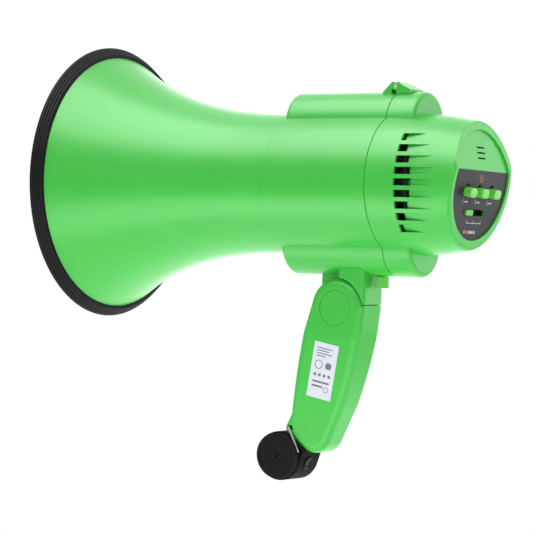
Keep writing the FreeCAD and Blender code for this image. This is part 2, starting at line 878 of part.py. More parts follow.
def pillars():
    """Posts inside the cover: two long ones for the amplifier, two for the control board."""
    inner = size.panel_recess + size.shell_wall
    posts = []
    for side in (-1, 1):
        place = Vector(size.amplifier_station + 1.6, side * size.pillar_spread, 0)
        reach = size.panel_ridge_station - place.x - inner
        posts.append(Part.makeCylinder(size.pillar_radius, reach, place, Vector(1, 0, 0)))
        post = Part.makeCylinder(2.6, size.board_inset - inner + 0.2, Vector(), Vector(1, 0, 0))
        post.Placement = on_panel(
            -size.board_inset, side * size.board_post_spread, -size.board_post_drop
        )
        posts.append(post)
    return posts


def seam_groove():
    """Shallow groove round the cover's front edge, where it meets the barrel."""
    width = size.seam_width
    front = size.cover_front - 1
    reach = 2 * size.lobe_axis_height + 2 * size.lobe_radius
    band = Part.makeBox(1 + width, reach, reach, Vector(front, -reach / 2, -reach / 2))
    core = Part.makeCylinder(
        size.barrel_radius - size.seam_depth, 3 + width, Vector(front - 1, 0, 0), Vector(1, 0, 0)
    )
    bars = [lobe(f"seam_lobe_{side + 1}", "cover_front - 2", "cover_front + 2", "seam_depth", side)
            for side in (1, -1)]
    doc.recompute()
    for bar in bars:
        core = core.fuse(bar.Shape)
    return band.cut(core)


def rear_cover():
    """Removable rear cover: tapered cap, lobe ends, vents, recessed face and pillars."""
    back = size.panel_ridge_station + 6
    shell = taper(0.0, back).cut(behind_face(0.0))
    reach = size.panel_ridge_station - size.rear_edge_reach
    rim = [edge for edge in shell.Edges if edge.BoundBox.XMin > reach]
    outer_rim = [edge for edge in rim if edge.BoundBox.YLength > size.rear_radius]
    curved = [edge for edge in outer_rim if edge.BoundBox.ZLength > 2]
    shell = shell.makeFillet(size.rear_edge_fillet, curved)
    skin = size.shell_wall
    room = taper(skin, back).cut(behind_face(size.panel_recess + skin))
    recess_radius = size.rear_radius - size.lip_width
    recess = Part.makeCylinder(recess_radius, 60, Vector(back - 50, 0, 0), Vector(1, 0, 0))
    recess = recess.common(behind_face(size.panel_recess))
    ends = []
    for side in (1, -1):
        ends.append(outer_lobe(f"cover_lobe_{side + 1}", "cover_front", "lobe_back", side, size.lobe_back))
    hollows = []
    for side in (1, -1):
        hollows.append(
            lobe(f"cover_hollow_{side + 1}", "cover_front - 1", "lobe_back - shell_wall", "shell_wall", side)
        )
    doc.recompute()
    for end in ends:
        shell = shell.fuse(end.Shape)
    for hollow in hollows:
        shell = shell.cut(hollow.Shape)
    shell = shell.cut(room).cut(recess).cut(vent_cutter()).cut(seam_groove())
    for post in pillars() + [spigot()]:
        shell = shell.fuse(post)
    for tool in panel_slots():
        shell = shell.cut(tool)
    return finish(shaped("cover_shape", shell.removeSplitter()), "rear_cover")


def spigot():
    """Two curved tongues that centre the cover inside the barrel."""
    outer = size.barrel_radius - size.shell_wall - size.fit_gap
    length = size.spigot_length + 3
    place = Vector(size.cover_front - size.spigot_length, 0, 0)
    ring = Part.makeCylinder(outer, length, place, Vector(1, 0, 0))
    ring = ring.cut(Part.makeCylinder(outer - size.spigot_depth, length, place, Vector(1, 0, 0)))
    band = Part.makeBox(400, 120, size.spigot_height, Vector(0, -60, -size.spigot_height / 2))
    link = Part.makeCylinder(outer + 1, 3, Vector(size.cover_front, 0, 0), Vector(1, 0, 0))
    bore = outer - size.spigot_depth
    link = link.cut(Part.makeCylinder(bore, 3, Vector(size.cover_front, 0, 0), Vector(1, 0, 0)))
    return ring.fuse(link).common(band)


# ---------------------------------------------------------------- batteries


def cells(label, side):
    """Two round cells in line, with their raised caps to the rear."""
    axis = battery_axis(side)
    first = "barrel_front + shell_wall + contact_depth"
    pair = []
    for index in range(2):
        start = f"{first} + {index} * (cell_length + cell_cap_depth)"
        can = rod("can", "cell_radius", "cell_length", x=start, z=axis)
        cap = rod("cap", "cell_cap_radius", "cell_cap_depth", x=f"{start} + cell_length", z=axis)
        pair.append(fuse("cell", can, cap))
    group = part("Compound", f"{label}_pair")
    group.Links = pair
    return finish(group, label)


def battery_sleeve(label, side):
    """Open tube that guides the cells; it is held by the front wall of its lobe."""
    axis = battery_axis(side)
    start = "barrel_front + shell_wall"
    length = "sleeve_back - barrel_front - shell_wall"
    outer = rod("sleeve_outer", "cell_radius + sleeve_wall + 0.5", length, x=start, z=axis)
    inner = rod("sleeve_bore", "cell_radius + 0.5", length, x=start, z=axis)
    tools = [inner]
    if side < 0:
        window = rod(
            "sleeve_window",
            "volume_body_radius + 1",
            "20",
            x="volume_station",
            z="-lobe_axis_height - lobe_radius",
            along=Rotation(),
        )
        tools.append(window)
    return finish(cut(f"{label}_cut", outer, *tools), label)


def front_contacts():
    """Flat contact plates at the closed front end of each sleeve."""
    plates = []
    for side in (1, -1):
        plates.append(
            rod(
                "front_plate",
                "contact_radius",
                "contact_depth",
                x="barrel_front + shell_wall",
                z=battery_axis(side),
            )
        )
    group = part("Compound", "front_plates")
    group.Links = plates
    return finish(group, "front_cell_contacts")


def rear_contacts():
    """Contact plates with coil springs, on the cover's lobe ends."""
    pieces = []
    plate_front = size.lobe_back - size.shell_wall - size.contact_depth
    cap_back = size.barrel_front + size.shell_wall + size.contact_depth
    cap_back += 2 * (size.cell_length + size.cell_cap_depth)
    wire = size.contact_spring_wire
    first = cap_back + size.fit_gap + wire
    last = plate_front - 0.9 * wire
    count = math.ceil((last - first) / (1.8 * wire)) + 1
    for side in (1, -1):
        centre = Vector(plate_front, 0, side * (size.lobe_axis_height + size.cell_rise))
        plate = Part.makeCylinder(size.contact_radius, size.contact_depth, centre, Vector(1, 0, 0))
        for index in range(count):
            station = first + (last - first) * index / (count - 1)
            place = Vector(station, 0, centre.z)
            ring = Part.makeTorus(size.contact_spring_radius, wire, place, Vector(1, 0, 0))
            plate = plate.fuse(ring)
        pieces.append(plate)
    return finish(shaped("rear_plates", Part.makeCompound(pieces)), "rear_cell_contacts")


# ---------------------------------------------------------------- rear panel


def control_label():
    """Thin dark overlay in the recess, pierced for the knobs."""
    depth = size.panel_recess
    disc = Part.makeCylinder(size.label_radius, 60, Vector(290, 0, 0), Vector(1, 0, 0))
    slab = panel_box(depth - size.label_depth, depth, 0, 120, -100, -size.label_top_gap)
    sheet_shape = disc.common(slab)
    for tool in panel_slots():
        sheet_shape = sheet_shape.cut(tool)
    return finish(shaped("label_shape", sheet_shape), "control_label")


def switch_knob(index):
    """Slide knob: a capsule-shaped cap on a flat stem."""
    y = (index - 2) * size.switch_pitch
    face = size.panel_recess
    gap = size.fit_gap
    low = -size.switch_drop - size.switch_cap_height / 2
    cap = panel_box(
        face - size.switch_cap_depth,
        face - size.label_depth - gap,
        y,
        size.switch_cap_width,
        low,
        low + size.switch_cap_height,
    )
    cap_length = size.switch_cap_depth - size.label_depth - gap
    ends = [edge for edge in cap.Edges if abs(edge.Length - cap_length) < 0.01]
    cap = cap.makeFillet(size.switch_cap_height / 2 - 0.4, ends)
    stem_low = low + 0.6
    front = face - 1
    back = size.board_inset - 6.0
    stem_high = stem_low + size.switch_stem_height
    stem = panel_box(front, back, y, size.switch_stem_width, stem_low, stem_high)
    side_gap = (size.switch_slot_width - size.switch_stem_width) / 2
    stem = round_corners(stem, back - front, size.slot_rounding * size.switch_slot_width - side_gap)
    knob = cap.fuse(stem).removeSplitter()
    return finish(shaped(f"switch_knob_shape_{index}", knob), f"switch_knob_{index}")


def switch_bodies():
    """Three slide switches and the long mode switch, soldered to the control board."""
    bodies = []
    for column in (-1, 0, 1):
        y = column * size.switch_pitch
        low = -size.switch_drop - 6
        bodies.append(panel_box(size.board_inset - 5.5, size.board_inset, y, 13, low, low + 13))
    finish(shaped("switch_body_shape", Part.makeCompound(bodies)), "switch_bodies")
    low = -size.mode_drop - 3.2
    body = panel_box(size.board_inset - 5.5, size.board_inset, 0, 34, low, low + 6.4)
    finish(shaped("mode_body_shape", body), "mode_switch_body")


def mode_knob():
    """Three-position slide knob at the left end of its slot."""
    y = -size.mode_travel / 2
    face = size.panel_recess - size.label_depth
    low = -size.mode_drop - size.mode_knob_height / 2
    high = low + size.mode_knob_height
    back = size.board_inset - 5.8
    front = face - size.mode_knob_proud
    knob = panel_box(front, back, y, size.mode_knob_width, low, high)
    gap = (size.mode_slot_height - size.mode_knob_height) / 2
    knob = round_corners(knob, back - front, size.slot_rounding * size.mode_slot_height - gap)
    return finish(shaped("mode_knob_shape", knob), "mode_knob")


def control_board():
    """Circuit board that stands on two posts behind the panel."""
    inset = size.board_inset
    low = -size.board_drop - size.board_height / 2
    board = panel_box(inset, inset + size.board_depth, 0, size.board_width, low, low + size.board_height)
    finish(shaped("board_shape", board), "control_board")
    screws = []
    for side in (-1, 1):
        head = Part.makeCylinder(2.6, 1.6)
        turn = Rotation(Vector(0, 1, 0), 90)
        y = side * size.board_post_spread
        place = on_panel(-inset - size.board_depth - 1.6, y, -size.board_post_drop)
        head.Placement = place.multiply(Placement(Vector(), turn))
        screws.append(head)
    finish(shaped("board_screw_shape", Part.makeCompound(screws)), "control_board_screws")


def microphone():
    """Electret capsule in a rubber boot, pressed against the slots from inside."""
    inner = size.panel_recess + size.shell_wall
    turn = Placement(Vector(), Rotation(Vector(0, 1, 0), 90))
    capsule = Part.makeCylinder(size.mic_radius, size.mic_depth)
    boot = Part.makeCylinder(size.mic_radius + size.mic_boot_wall, size.mic_depth)
    boot = boot.cut(capsule)
    place = on_panel(-inner - size.mic_depth, 0, size.mic_rise, 1).multiply(turn)
    boot.Placement = place
    capsule.Placement = place
    finish(shaped("mic_shape", capsule), "microphone_capsule")
    finish(shaped("mic_boot_shape", boot), "microphone_boot")


def amplifier():
    """Power amplifier board on the long pillars, with its heat sink and capacitors."""
    station = "amplifier_station"
    half_width = "amplifier_width / 2"
    half_height = "amplifier_height / 2"
    board = block(
        "amplifier_plate",
        "1.6",
        "amplifier_width",
        "amplifier_height",
        x=station,
        y="-" + half_width,
        z="-" + half_height,
    )
    finish(board, "amplifier_board")
    base = block("sink_base", "3", "44", "20", x=station + " - 3", y="-22", z="-10")
    fins = [
        block("sink_fin", "12", "1.8", "20", x=station + " - 15", y=f"{-22 + 8.44 * index}", z="-10")
        for index in range(6)
    ]
    finish(fuse("sink_fused", base, *fins), "heat_sink")
    cans = []
    for index, (y, z) in enumerate(((-28, 14), (-14, 16), (14, 16), (28, 14))):
        cans.append(rod(f"cap_{index}", "4", "11", x=station + " - 11", y=str(y), z=str(z)))
    group = part("Compound", "capacitor_set")
    group.Links = cans
    finish(group, "capacitors")
    heads = []
    for side in ("-", ""):
        heads.append(rod("amp_screw", "3", "1.8", x=station + " - 1.8", y=side + "pillar_spread", z="0 mm"))
    group = part("Compound", "amp_screw_set")
    group.Links = heads
    finish(group, "amplifier_screws")


# ---------------------------------------------------------------- latch


def latch():
    """Latch lever that bridges the seam, and the steel pin that it turns on."""
    crest = LOBE_CREST
    corners = [
        ("latch_peak - 1.2", crest + " + latch_rise - 1.1"),
        ("latch_peak", crest + " + latch_rise"),
        ("latch_back", crest + " + 1.7"),
        ("latch_back", crest + " - 4"),
        ("latch_peak - 1.2", crest + " - 4"),
    ]
    wing = extruded("wing", "XZ_Plane", corners, "latch_width")
    seat = lobe("lever_seat", "latch_front", "latch_back + 1", "(-fit_gap)", 1)
    hollow = block(
        "lever_hollow",
        "latch_back - 5 - (latch_peak - 2)",
        "latch_width - 2 * latch_cheek",
        "8",
        x="latch_peak - 2",
        y="-(latch_width / 2 - latch_cheek)",
        z=crest + " - 8 + 1.2",
    )
    shell = cut("lever_shell", wing, seat, hollow)
    tongue_width = "latch_width - 2 * latch_ear_width - 2 * fit_gap"
    knuckle = latch_rod("lever_knuckle", "latch_pin_rise - fit_gap", tongue_width)
    bore = latch_rod("lever_bore", "latch_pin_radius + running_gap", "latch_width + 2")
    solid = fuse("lever_solid", shell, knuckle)
    finish(cut("lever_cut", solid, bore, *lever_notches()), "latch_lever")
    finish(latch_rod("pin", "latch_pin_radius", "latch_width + 0.6"), "latch_pin")


def lever_notches():
    """Room beside the lever's knuckle for the ears, and for its turn about the pin."""
    width = "latch_ear_width + fit_gap + 1"
    turn = "latch_eye_radius + fit_gap"
    crest = LOBE_CREST
    notches = []
    for side in ("-1", "1"):
        middle = f"{side} * (latch_width / 2 - latch_ear_width / 2 - fit_gap / 2 + 0.5)"
        start = middle + f" - ({width}) / 2"
        above = block("notch_above", "8 + latch_eye_radius", width, "12", x="latch_peak - 8")
        below = block("notch_below", "8.6", width, "12", x="latch_peak - 8")
        round_eye = rod("notch_eye", turn, width, x="latch_peak", along=ALONG_Y)
        heights = (" + latch_pin_rise", " + latch_pin_rise - 12", " + latch_pin_rise")
        for notch, height in zip((above, below, round_eye), heights):
            bind(notch, **{"Placement.Base.y": start, "Placement.Base.z": crest + height})
            notches.append(notch)
    return notches


# ---------------------------------------------------------------- volume control


def volume_control():
    """Potentiometer inside the lower lobe and the knob on its shaft below."""
    inside = "-lobe_axis_height - lobe_radius + shell_wall"
    crest = "-lobe_axis_height - lobe_radius"
    up = Rotation()
    knob = rod(
        "volume_knob_body",
        "volume_knob_radius",
        "volume_knob_height",
        x="volume_station",
        z=crest + " - fit_gap - volume_knob_height",
        along=up,
    )
    shaft = rod(
        "volume_shaft",
        "volume_shaft_radius",
        "shell_wall + 2 * fit_gap",
        x="volume_station",
        z=crest + " - 2 * fit_gap",
        along=up,
    )
    finish(fuse("volume_knob_fused", knob, shaft), "volume_knob")
    seat = inside + " + 0.35"
    bush = rod("pot_bush", "4", "volume_bush_height", x="volume_station", z=seat, along=up)
    pot = rod(
        "volume_pot",
        "volume_body_radius",
        "volume_body_height",
        x="volume_station",
        z=seat + " + volume_bush_height",
        along=up,
    )
    finish(fuse("volume_pot_fused", pot, bush), "volume_potentiometer")


# ---------------------------------------------------------------- bracket and handle


BRACKET_SCREW_REACH = 7.0


def pivot_point(y=0.0):
    return Vector(size.pivot_station, y, -PIVOT_DROP)


def across(radius, half_width):
    """A cylinder about the fold axis, reaching equally to both sides."""
    return Part.makeCylinder(radius, 2 * half_width, pivot_point(-half_width), Vector(0, 1, 0))


def handle_bracket():
    """Saddle under the lower lobe: a stop block with a concave face, and a hinge tongue."""
    top = -size.lobe_axis_height
    block_shape = Part.makeBox(
        size.bracket_back - size.bracket_front,
        2 * size.handle_half_width,
        BRACKET_BASE_DROP + top,
        Vector(size.bracket_front, -size.handle_half_width, -BRACKET_BASE_DROP),
    )
    corners = [edge for edge in block_shape.Edges if on_station(edge, size.bracket_back)]
    upright = [edge for edge in corners if edge.BoundBox.ZLength > 1]
    block_shape = block_shape.makeFillet(size.handle_edge_fillet, upright)
    block_shape = block_shape.cut(across(size.bracket_arc_radius, 40))
    half = size.tongue_half_width
    tongue_profile = [
        Vector(size.tongue_front, -half, top),
        Vector(size.tongue_front, -half, -PIVOT_DROP + size.tongue_tip_radius),
        Vector(size.pivot_station - size.tongue_tip_radius, -half, -PIVOT_DROP),
        Vector(size.pivot_station + size.tongue_tip_radius, -half, -PIVOT_DROP),
        Vector(size.bracket_back - 3, -half, -BRACKET_BASE_DROP + 6),
        Vector(size.bracket_back - 3, -half, top),
    ]
    tongue = solid_of(polygon_face(tongue_profile), Vector(0, 2 * half, 0))
    tongue = tongue.fuse(across(size.tongue_tip_radius, half))
    whole = block_shape.fuse(tongue)
    crest = Part.makeCylinder(
        size.lobe_radius, 200, Vector(size.barrel_front - 50, 0, -size.lobe_axis_height), Vector(1, 0, 0)
    )
    whole = whole.cut(crest).cut(across(size.bolt_radius + size.running_gap, 40))
    whole = whole.cut(bracket_screw_holes())
    return finish(shaped("bracket_shape", whole.removeSplitter()), "handle_bracket")


def bracket_screw_places():
    """Where the two bracket screws cross the crest of the lower lobe."""
    crest = -size.lobe_axis_height - size.lobe_radius
    return [Vector(x, 0, crest) for x in (size.tongue_front + 5, size.bracket_back - 9)]


def bracket_screw_holes():
    holes = []
    for place in bracket_screw_places():
        start = place - Vector(0, 0, BRACKET_SCREW_REACH)
        length = BRACKET_SCREW_REACH + size.shell_wall + 1
        holes.append(Part.makeCylinder(1.5, length, start, Vector(0, 0, 1)))
    return Part.makeCompound(holes)


def bracket_screws():
    """Screws driven down from inside the lower lobe into the bracket."""
    screws = []
    for place in bracket_screw_places():
        start = place - Vector(0, 0, BRACKET_SCREW_REACH)
        seat = size.shell_wall + 0.25
        shank = Part.makeCylinder(1.5, BRACKET_SCREW_REACH + seat, start, Vector(0, 0, 1))
        head = Part.makeCylinder(2.8, 1.6, place + Vector(0, 0, seat), Vector(0, 0, 1))
        screws.append(shank.fuse(head))
    return finish(shaped("bracket_screw_shape", Part.makeCompound(screws)), "bracket_screws")


def grip_outline(inset):
    """Side view of the grip below its round head: straight runs and long arcs."""
    falls = {
        "front_top": (197.3, -6.4),
        "front_upper": (189.9, 17.2),
        "front_middle": (183.9, 48.2),
        "front_lower": (179.6, 79.7),
        "lug_front": (174.4, 89.8),
        "lug_foot": (175.2, 94.2),
        "foot_front": (190.0, 104.6),
        "foot_middle": (203.0, 107.8),
        "foot_back": (212.4, 100.4),
        "back_lower": (224.6, 73.2),
        "back_middle": (233.4, 44.2),
        "back_upper": (239.2, 15.8),
        "back_top": (241.3, -2.6),
    }
    corner = {name: Vector(x, 0, -PIVOT_DROP - fall) for name, (x, fall) in falls.items()}

    def arc(first, middle, last):
        return Part.Arc(corner[first], corner[middle], corner[last]).toShape()

    def line(first, last):
        return Part.makeLine(corner[first], corner[last])

    centre = Vector(size.pivot_station, 0, corner["back_top"].z)
    shoulder = Vector(size.pivot_station, 0, corner["front_top"].z)
    edges = [
        line("front_top", "front_upper"),
        arc("front_upper", "front_middle", "front_lower"),
        line("front_lower", "lug_front"),
        line("lug_front", "lug_foot"),
        line("lug_foot", "foot_front"),
        arc("foot_front", "foot_middle", "foot_back"),
        line("foot_back", "back_lower"),
        arc("back_lower", "back_middle", "back_upper"),
        line("back_upper", "back_top"),
        Part.makeLine(corner["back_top"], centre),
        Part.makeLine(centre, shoulder),
        Part.makeLine(shoulder, corner["front_top"]),
    ]
    wire = Part.Wire(Part.__sortEdges__(edges))
    return wire if inset == 0 else wire.makeOffset2D(-inset, 2)


def grip_side_limits(inset):
    """Front view of the grip: parallel at its head, then narrowing to its foot."""
    top = size.handle_half_width - inset
    foot = size.handle_foot_half_width - inset
    bend = -PIVOT_DROP - size.handle_head_radius
    low = -FOOT_DROP - 2
    high = -PIVOT_DROP + size.handle_head_radius + 2
    corners = [(-top, high), (-top, bend), (-foot, low), (foot, low), (top, bend), (top, high)]
    face = polygon_face([Vector(size.grip_station - 60, y, z) for y, z in corners])
    return face.extrude(Vector(120, 0, 0))


def grip_solid(inset):
    """The grip as one solid, inset all round."""
    half = size.handle_half_width + 4
    side = Part.Face(grip_outline(inset))
    side.translate(Vector(0, -half, 0))
    body = side.extrude(Vector(0, 2 * half, 0))
    head = across(size.handle_head_radius - inset, half)
    return body.fuse(head).removeSplitter().common(grip_side_limits(inset))


def is_long_rim(edge):
    """True for an edge along either broad side of the grip."""
    middle = edge.valueAt((edge.FirstParameter + edge.LastParameter) / 2)
    return abs(middle.y) > size.handle_foot_half_width - 1 and edge.BoundBox.YLength < 4


def is_foot_corner(edge):
    """True for a corner that runs across the grip's foot."""
    box = edge.BoundBox
    return box.YLength > size.handle_foot_half_width and box.ZMax < -EYE_DROP + 12


def cross_rod(station, drop, radius, first, last):
    """A rod along Y through a point of the grip's side view."""
    return Part.makeCylinder(radius, last - first, Vector(station, first, -drop), Vector(0, 1, 0))


# Where the grip's halves are screwed together, below and behind the pivot.
HANDLE_SCREW_FALLS = ((219.0, 27.2), (222.0, 60.2), (199.0, 94.2))
HANDLE_SCREWS = [(x, PIVOT_DROP + fall) for x, fall in HANDLE_SCREW_FALLS]
BOSS_RADIUS = 3.8
SCREW_HEAD_SEAT = 9.0
FOOT_ROUNDING = 2.0


def grip_bosses():
    """Screw bosses, trigger pin bosses, switch ribs and spring post, wall to wall."""
    reach = size.handle_half_width + 2
    pieces = [cross_rod(x, drop, BOSS_RADIUS, -reach, reach) for x, drop in HANDLE_SCREWS]
    gap = size.trigger_half_width + size.trigger_gap
    pin = (size.trigger_pin_station, TRIGGER_PIN_DROP, size.trigger_pin_radius + 2.2)
    pieces.append(cross_rod(*pin, gap, reach))
    pieces.append(cross_rod(*pin, -reach, -gap))
    post = (size.trigger_pin_station + 10.6, TRIGGER_PIN_DROP + 3.4, 1.6)
    pieces.append(cross_rod(*post, -reach, reach))
    half = size.switch_half_width
    for side in (-1, 1):
        low = half if side > 0 else -reach
        corner = Vector(size.switch_station, low, -SWITCH_BODY_DROP - 5)
        pieces.append(Part.makeBox(6.5, reach - half, 10, corner))
    return pieces


def grip_openings():
    """What is cut from the grip: hinge slot, bores, trigger window and cord eye."""
    slot_half = size.tongue_half_width + size.washer_depth
    front = size.pivot_station - 40
    above = PIVOT_DROP - 2.6
    slot = Part.makeBox(80, 2 * slot_half, 40, Vector(front, -slot_half, -above))
    low = PIVOT_DROP + 1.2
    reach = size.pivot_station + size.tongue_tip_radius + 3.2 - front
    pit = Part.makeBox(reach, 2 * slot_half, 10, Vector(front, -slot_half, -low))
    throat_low = PIVOT_DROP + size.hinge_slot_drop
    throat = Part.makeBox(40, 2 * slot_half, 20, Vector(front, -slot_half, -throat_low))
    tools = [slot, pit, throat, across(size.tongue_tip_radius + 1, slot_half)]
    tools.append(across(size.bolt_radius + size.running_gap, 30))
    cap_seat = size.handle_half_width - size.pivot_cap_depth
    head_seat = cap_seat - size.bolt_head_depth - 0.2
    for side in (-1, 1):
        for radius, seat in (
            (size.pivot_cap_radius + 0.05, cap_seat),
            (size.bolt_head_radius + 0.3, head_seat),
        ):
            pocket = Part.makeCylinder(radius, 20, pivot_point(side * seat), Vector(0, side, 0))
            tools.append(pocket)
    half = size.trigger_half_width + size.trigger_gap
    window_foot = TRIGGER_PIN_DROP - size.trigger_window_rise + size.trigger_window_length
    corner = Vector(front, -half, -window_foot)
    window = (size.trigger_window_depth, 2 * half, size.trigger_window_length)
    tools.append(Part.makeBox(*window, corner))
    pin = (size.trigger_pin_station, TRIGGER_PIN_DROP, size.trigger_pin_radius)
    tools.append(cross_rod(*pin, -size.trigger_pin_half_length, size.trigger_pin_half_length))
    for x, drop in HANDLE_SCREWS:
        tools.append(cross_rod(x, drop, 1.4, -SCREW_HEAD_SEAT, SCREW_HEAD_SEAT + 1))
        tools.append(cross_rod(x, drop, 3.0, SCREW_HEAD_SEAT, 30))
    eye = (size.strap_hole_station, EYE_DROP, size.strap_hole_radius)
    tools.append(cross_rod(*eye, -30, 30))
    return tools


def grip_shells():
    """Both halves of the hollow grip, split on its middle plane."""
    outer = grip_solid(0.0)
    outer = outer.makeFillet(FOOT_ROUNDING, [edge for edge in outer.Edges if is_foot_corner(edge)])
    rims = [edge for edge in outer.Edges if is_long_rim(edge)]
    outer = outer.makeFillet(size.handle_edge_fillet, rims)
    hollow = grip_solid(size.handle_wall)
    solid_head = PIVOT_DROP + size.hinge_slot_drop
    above = Part.makeBox(120, 60, 60, Vector(size.grip_station - 60, -30, -solid_head))
    eye = (size.strap_hole_station, EYE_DROP, size.strap_hole_radius + 3.0)
    keep = above.fuse(cross_rod(*eye, -30, 30))
    shell = outer.cut(hollow.cut(keep))
    for boss in grip_bosses():
        shell = shell.fuse(boss.common(outer))
    for tool in grip_openings():
        shell = shell.cut(tool)
    for side, label in ((-1, "handle_left_shell"), (1, "handle_right_shell")):
        low = -60.0 if side < 0 else 0.0
        room = Part.makeBox(200, 60, 200, Vector(100, low, -260))
        half = shell.common(room)
        finish(shaped(f"{label}_shape", half), label)


def pivot():
    """The bolt that the grip folds on, with its nut, washers and caps."""
    cap_seat = size.handle_half_width - size.pivot_cap_depth
    head_seat = cap_seat - size.bolt_head_depth - 0.2
    start = pivot_point(-head_seat)
    shank = Part.makeCylinder(size.bolt_radius, 2 * head_seat + 3, start, Vector(0, 1, 0))
    head_start = pivot_point(-head_seat - size.bolt_head_depth)
    head = Part.makeCylinder(
        size.bolt_head_radius, size.bolt_head_depth, head_start, Vector(0, 1, 0)
    )
    finish(shaped("bolt_shape", head.fuse(shank)), "pivot_bolt")
    corner_radius = size.bolt_head_radius
    points = []
    for index in range(6):
        angle = math.radians(60 * index)
        corner = Vector(corner_radius * math.cos(angle), 0, corner_radius * math.sin(angle))
        points.append(pivot_point(head_seat) + corner)
    nut = polygon_face(points).extrude(Vector(0, 3, 0))
    finish(shaped("nut_shape", nut.cut(across(size.bolt_radius, 30))), "pivot_nut")
    rings = []
    for side in (-1, 1):
        place = pivot_point(side * (size.tongue_half_width + size.running_gap))
        depth = size.washer_depth - size.running_gap
        ring = Part.makeCylinder(size.washer_radius, depth, place, Vector(0, side, 0))
        rings.append(ring.cut(across(size.bolt_radius + size.running_gap, 30)))
    finish(shaped("washer_shape", Part.makeCompound(rings)), "pivot_washers")
    for side, label in ((-1, "pivot_cap_left"), (1, "pivot_cap_right")):
        place = pivot_point(side * cap_seat)
        cap = Part.makeCylinder(
            size.pivot_cap_radius, size.pivot_cap_depth, place, Vector(0, side, 0)
        )
        rim = [edge for edge in cap.Edges if abs(edge.BoundBox.Center.y) > cap_seat + 1]
        finish(shaped(f"{label}_shape", cap.makeChamfer(0.4, rim)), label)


def handle_screws():
    """Screws that close the grip from its right side."""
    screws = []
    for x, drop in HANDLE_SCREWS:
        shank = cross_rod(x, drop, 1.4, -SCREW_HEAD_SEAT + 1, SCREW_HEAD_SEAT)
        head = cross_rod(x, drop, 2.8, SCREW_HEAD_SEAT, SCREW_HEAD_SEAT + 2)
        screws.append(shank.fuse(head))
    finish(shaped("handle_screw_shape", Part.makeCompound(screws)), "handle_screws")


def trigger():
    """Talk trigger with its pin, return spring and the switch that it presses."""
    pin_x = size.trigger_pin_station
    pin_drop = TRIGGER_PIN_DROP
    outline = [
        (pin_x - 6.9, pin_drop - 0.9),
        (pin_x - 10.5, pin_drop + 5.0),
        (pin_x - 16.3, pin_drop + 25.5),
        (pin_x - 17.1, pin_drop + 31.0),
        (pin_x - 15.1, pin_drop + 34.9),
        (pin_x - 10.9, pin_drop + 35.1),
        (pin_x - 10.9, pin_drop + 38.9),
        (pin_x - 7.0, pin_drop + 38.9),
        (pin_x - 4.0, pin_drop + 31.5),
        (pin_x + 3.0, pin_drop + 3.5),
        (pin_x + 3.1, pin_drop - 1.5),
        (pin_x, pin_drop - 3.3),
    ]
    half = size.trigger_half_width
    face = polygon_face([Vector(x, -half, -drop) for x, drop in outline])
    body = face.extrude(Vector(0, 2 * half, 0))
    touched = []
    for edge in body.Edges:
        middle = edge.BoundBox.Center
        front = middle.x < pin_x - 12 and abs(middle.y) > half - 0.1
        if front and edge.BoundBox.YLength < 0.1:
            touched.append(edge)
    body = body.makeFillet(1.8, touched)
    body = body.cut(cross_rod(pin_x, pin_drop, size.trigger_pin_radius + size.running_gap, -9, 9))
    coil_half = 2.2
    body = body.cut(cross_rod(pin_x, pin_drop, 4.6, -coil_half, coil_half))
    finish(shaped("trigger_shape", body), "talk_trigger")
    reach = size.trigger_pin_half_length
    pin = cross_rod(pin_x, pin_drop, size.trigger_pin_radius, -reach, reach)
    finish(shaped("trigger_pin_shape", pin), "trigger_pin")
    wire = size.spring_wire_radius
    coil = None
    for index in range(-2, 3):
        centre = Vector(pin_x, index * 1.9 * wire, -pin_drop)
        turn = Part.makeTorus(size.spring_coil_radius, wire, centre, Vector(0, 1, 0))
        coil = turn if coil is None else coil.fuse(turn)
    top = Vector(pin_x, 3.8 * wire, -pin_drop + size.spring_coil_radius)
    rest = Vector(9.6, 0, -4.2)
    coil = coil.fuse(Part.makeCylinder(wire, rest.Length, top, rest))
    back = Vector(pin_x + size.spring_coil_radius, -3.8 * wire, -pin_drop)
    coil = coil.fuse(Part.makeCylinder(wire, 2.2, back, Vector(-0.2, 0, -1)))
    finish(shaped("trigger_spring_shape", coil), "trigger_spring")
    half = size.switch_half_width
    middle = -SWITCH_BODY_DROP
    body = Part.makeBox(6.5, 2 * half, 12, Vector(size.switch_station, -half, middle - 6))
    plunger_start = Vector(size.switch_station - 1.6, 0, middle)
    plunger = Part.makeCylinder(1.2, 2.0, plunger_start, Vector(1, 0, 0))
    finish(shaped("trigger_switch_shape", body.fuse(plunger)), "trigger_switch")


def handle_label():
    """Small pale sticker on the grip's left side, raked with the grip."""
    centre = Vector(size.sticker_station, 0, -PIVOT_DROP - size.sticker_fall)
    turn = Rotation(Vector(0, 1, 0), size.sticker_rake)
    plate = Part.makeBox(size.sticker_width, 40, size.sticker_length)
    corner = turn.multVec(Vector(-size.sticker_width / 2, 0, -size.sticker_length / 2))
    plate.Placement = Placement(centre + corner - Vector(0, 40, 0), turn)
    skin = grip_side_limits(-size.sticker_depth).cut(grip_side_limits(0.0))
    finish(shaped("handle_label_shape", plate.common(skin)), "handle_label")


# ---------------------------------------------------------------- wrist strap


def ring_corners():
    """The four corners of the wire loop that the strap hangs from."""
    eye = Vector(size.strap_hole_station, 0, -EYE_DROP)
    lean = Vector(0.45, 0, -0.893).normalize()
    foot = eye + lean * size.ring_length
    half = Vector(0, size.ring_half_width, 0)
    return [eye - half, eye + half, foot + half, foot - half]


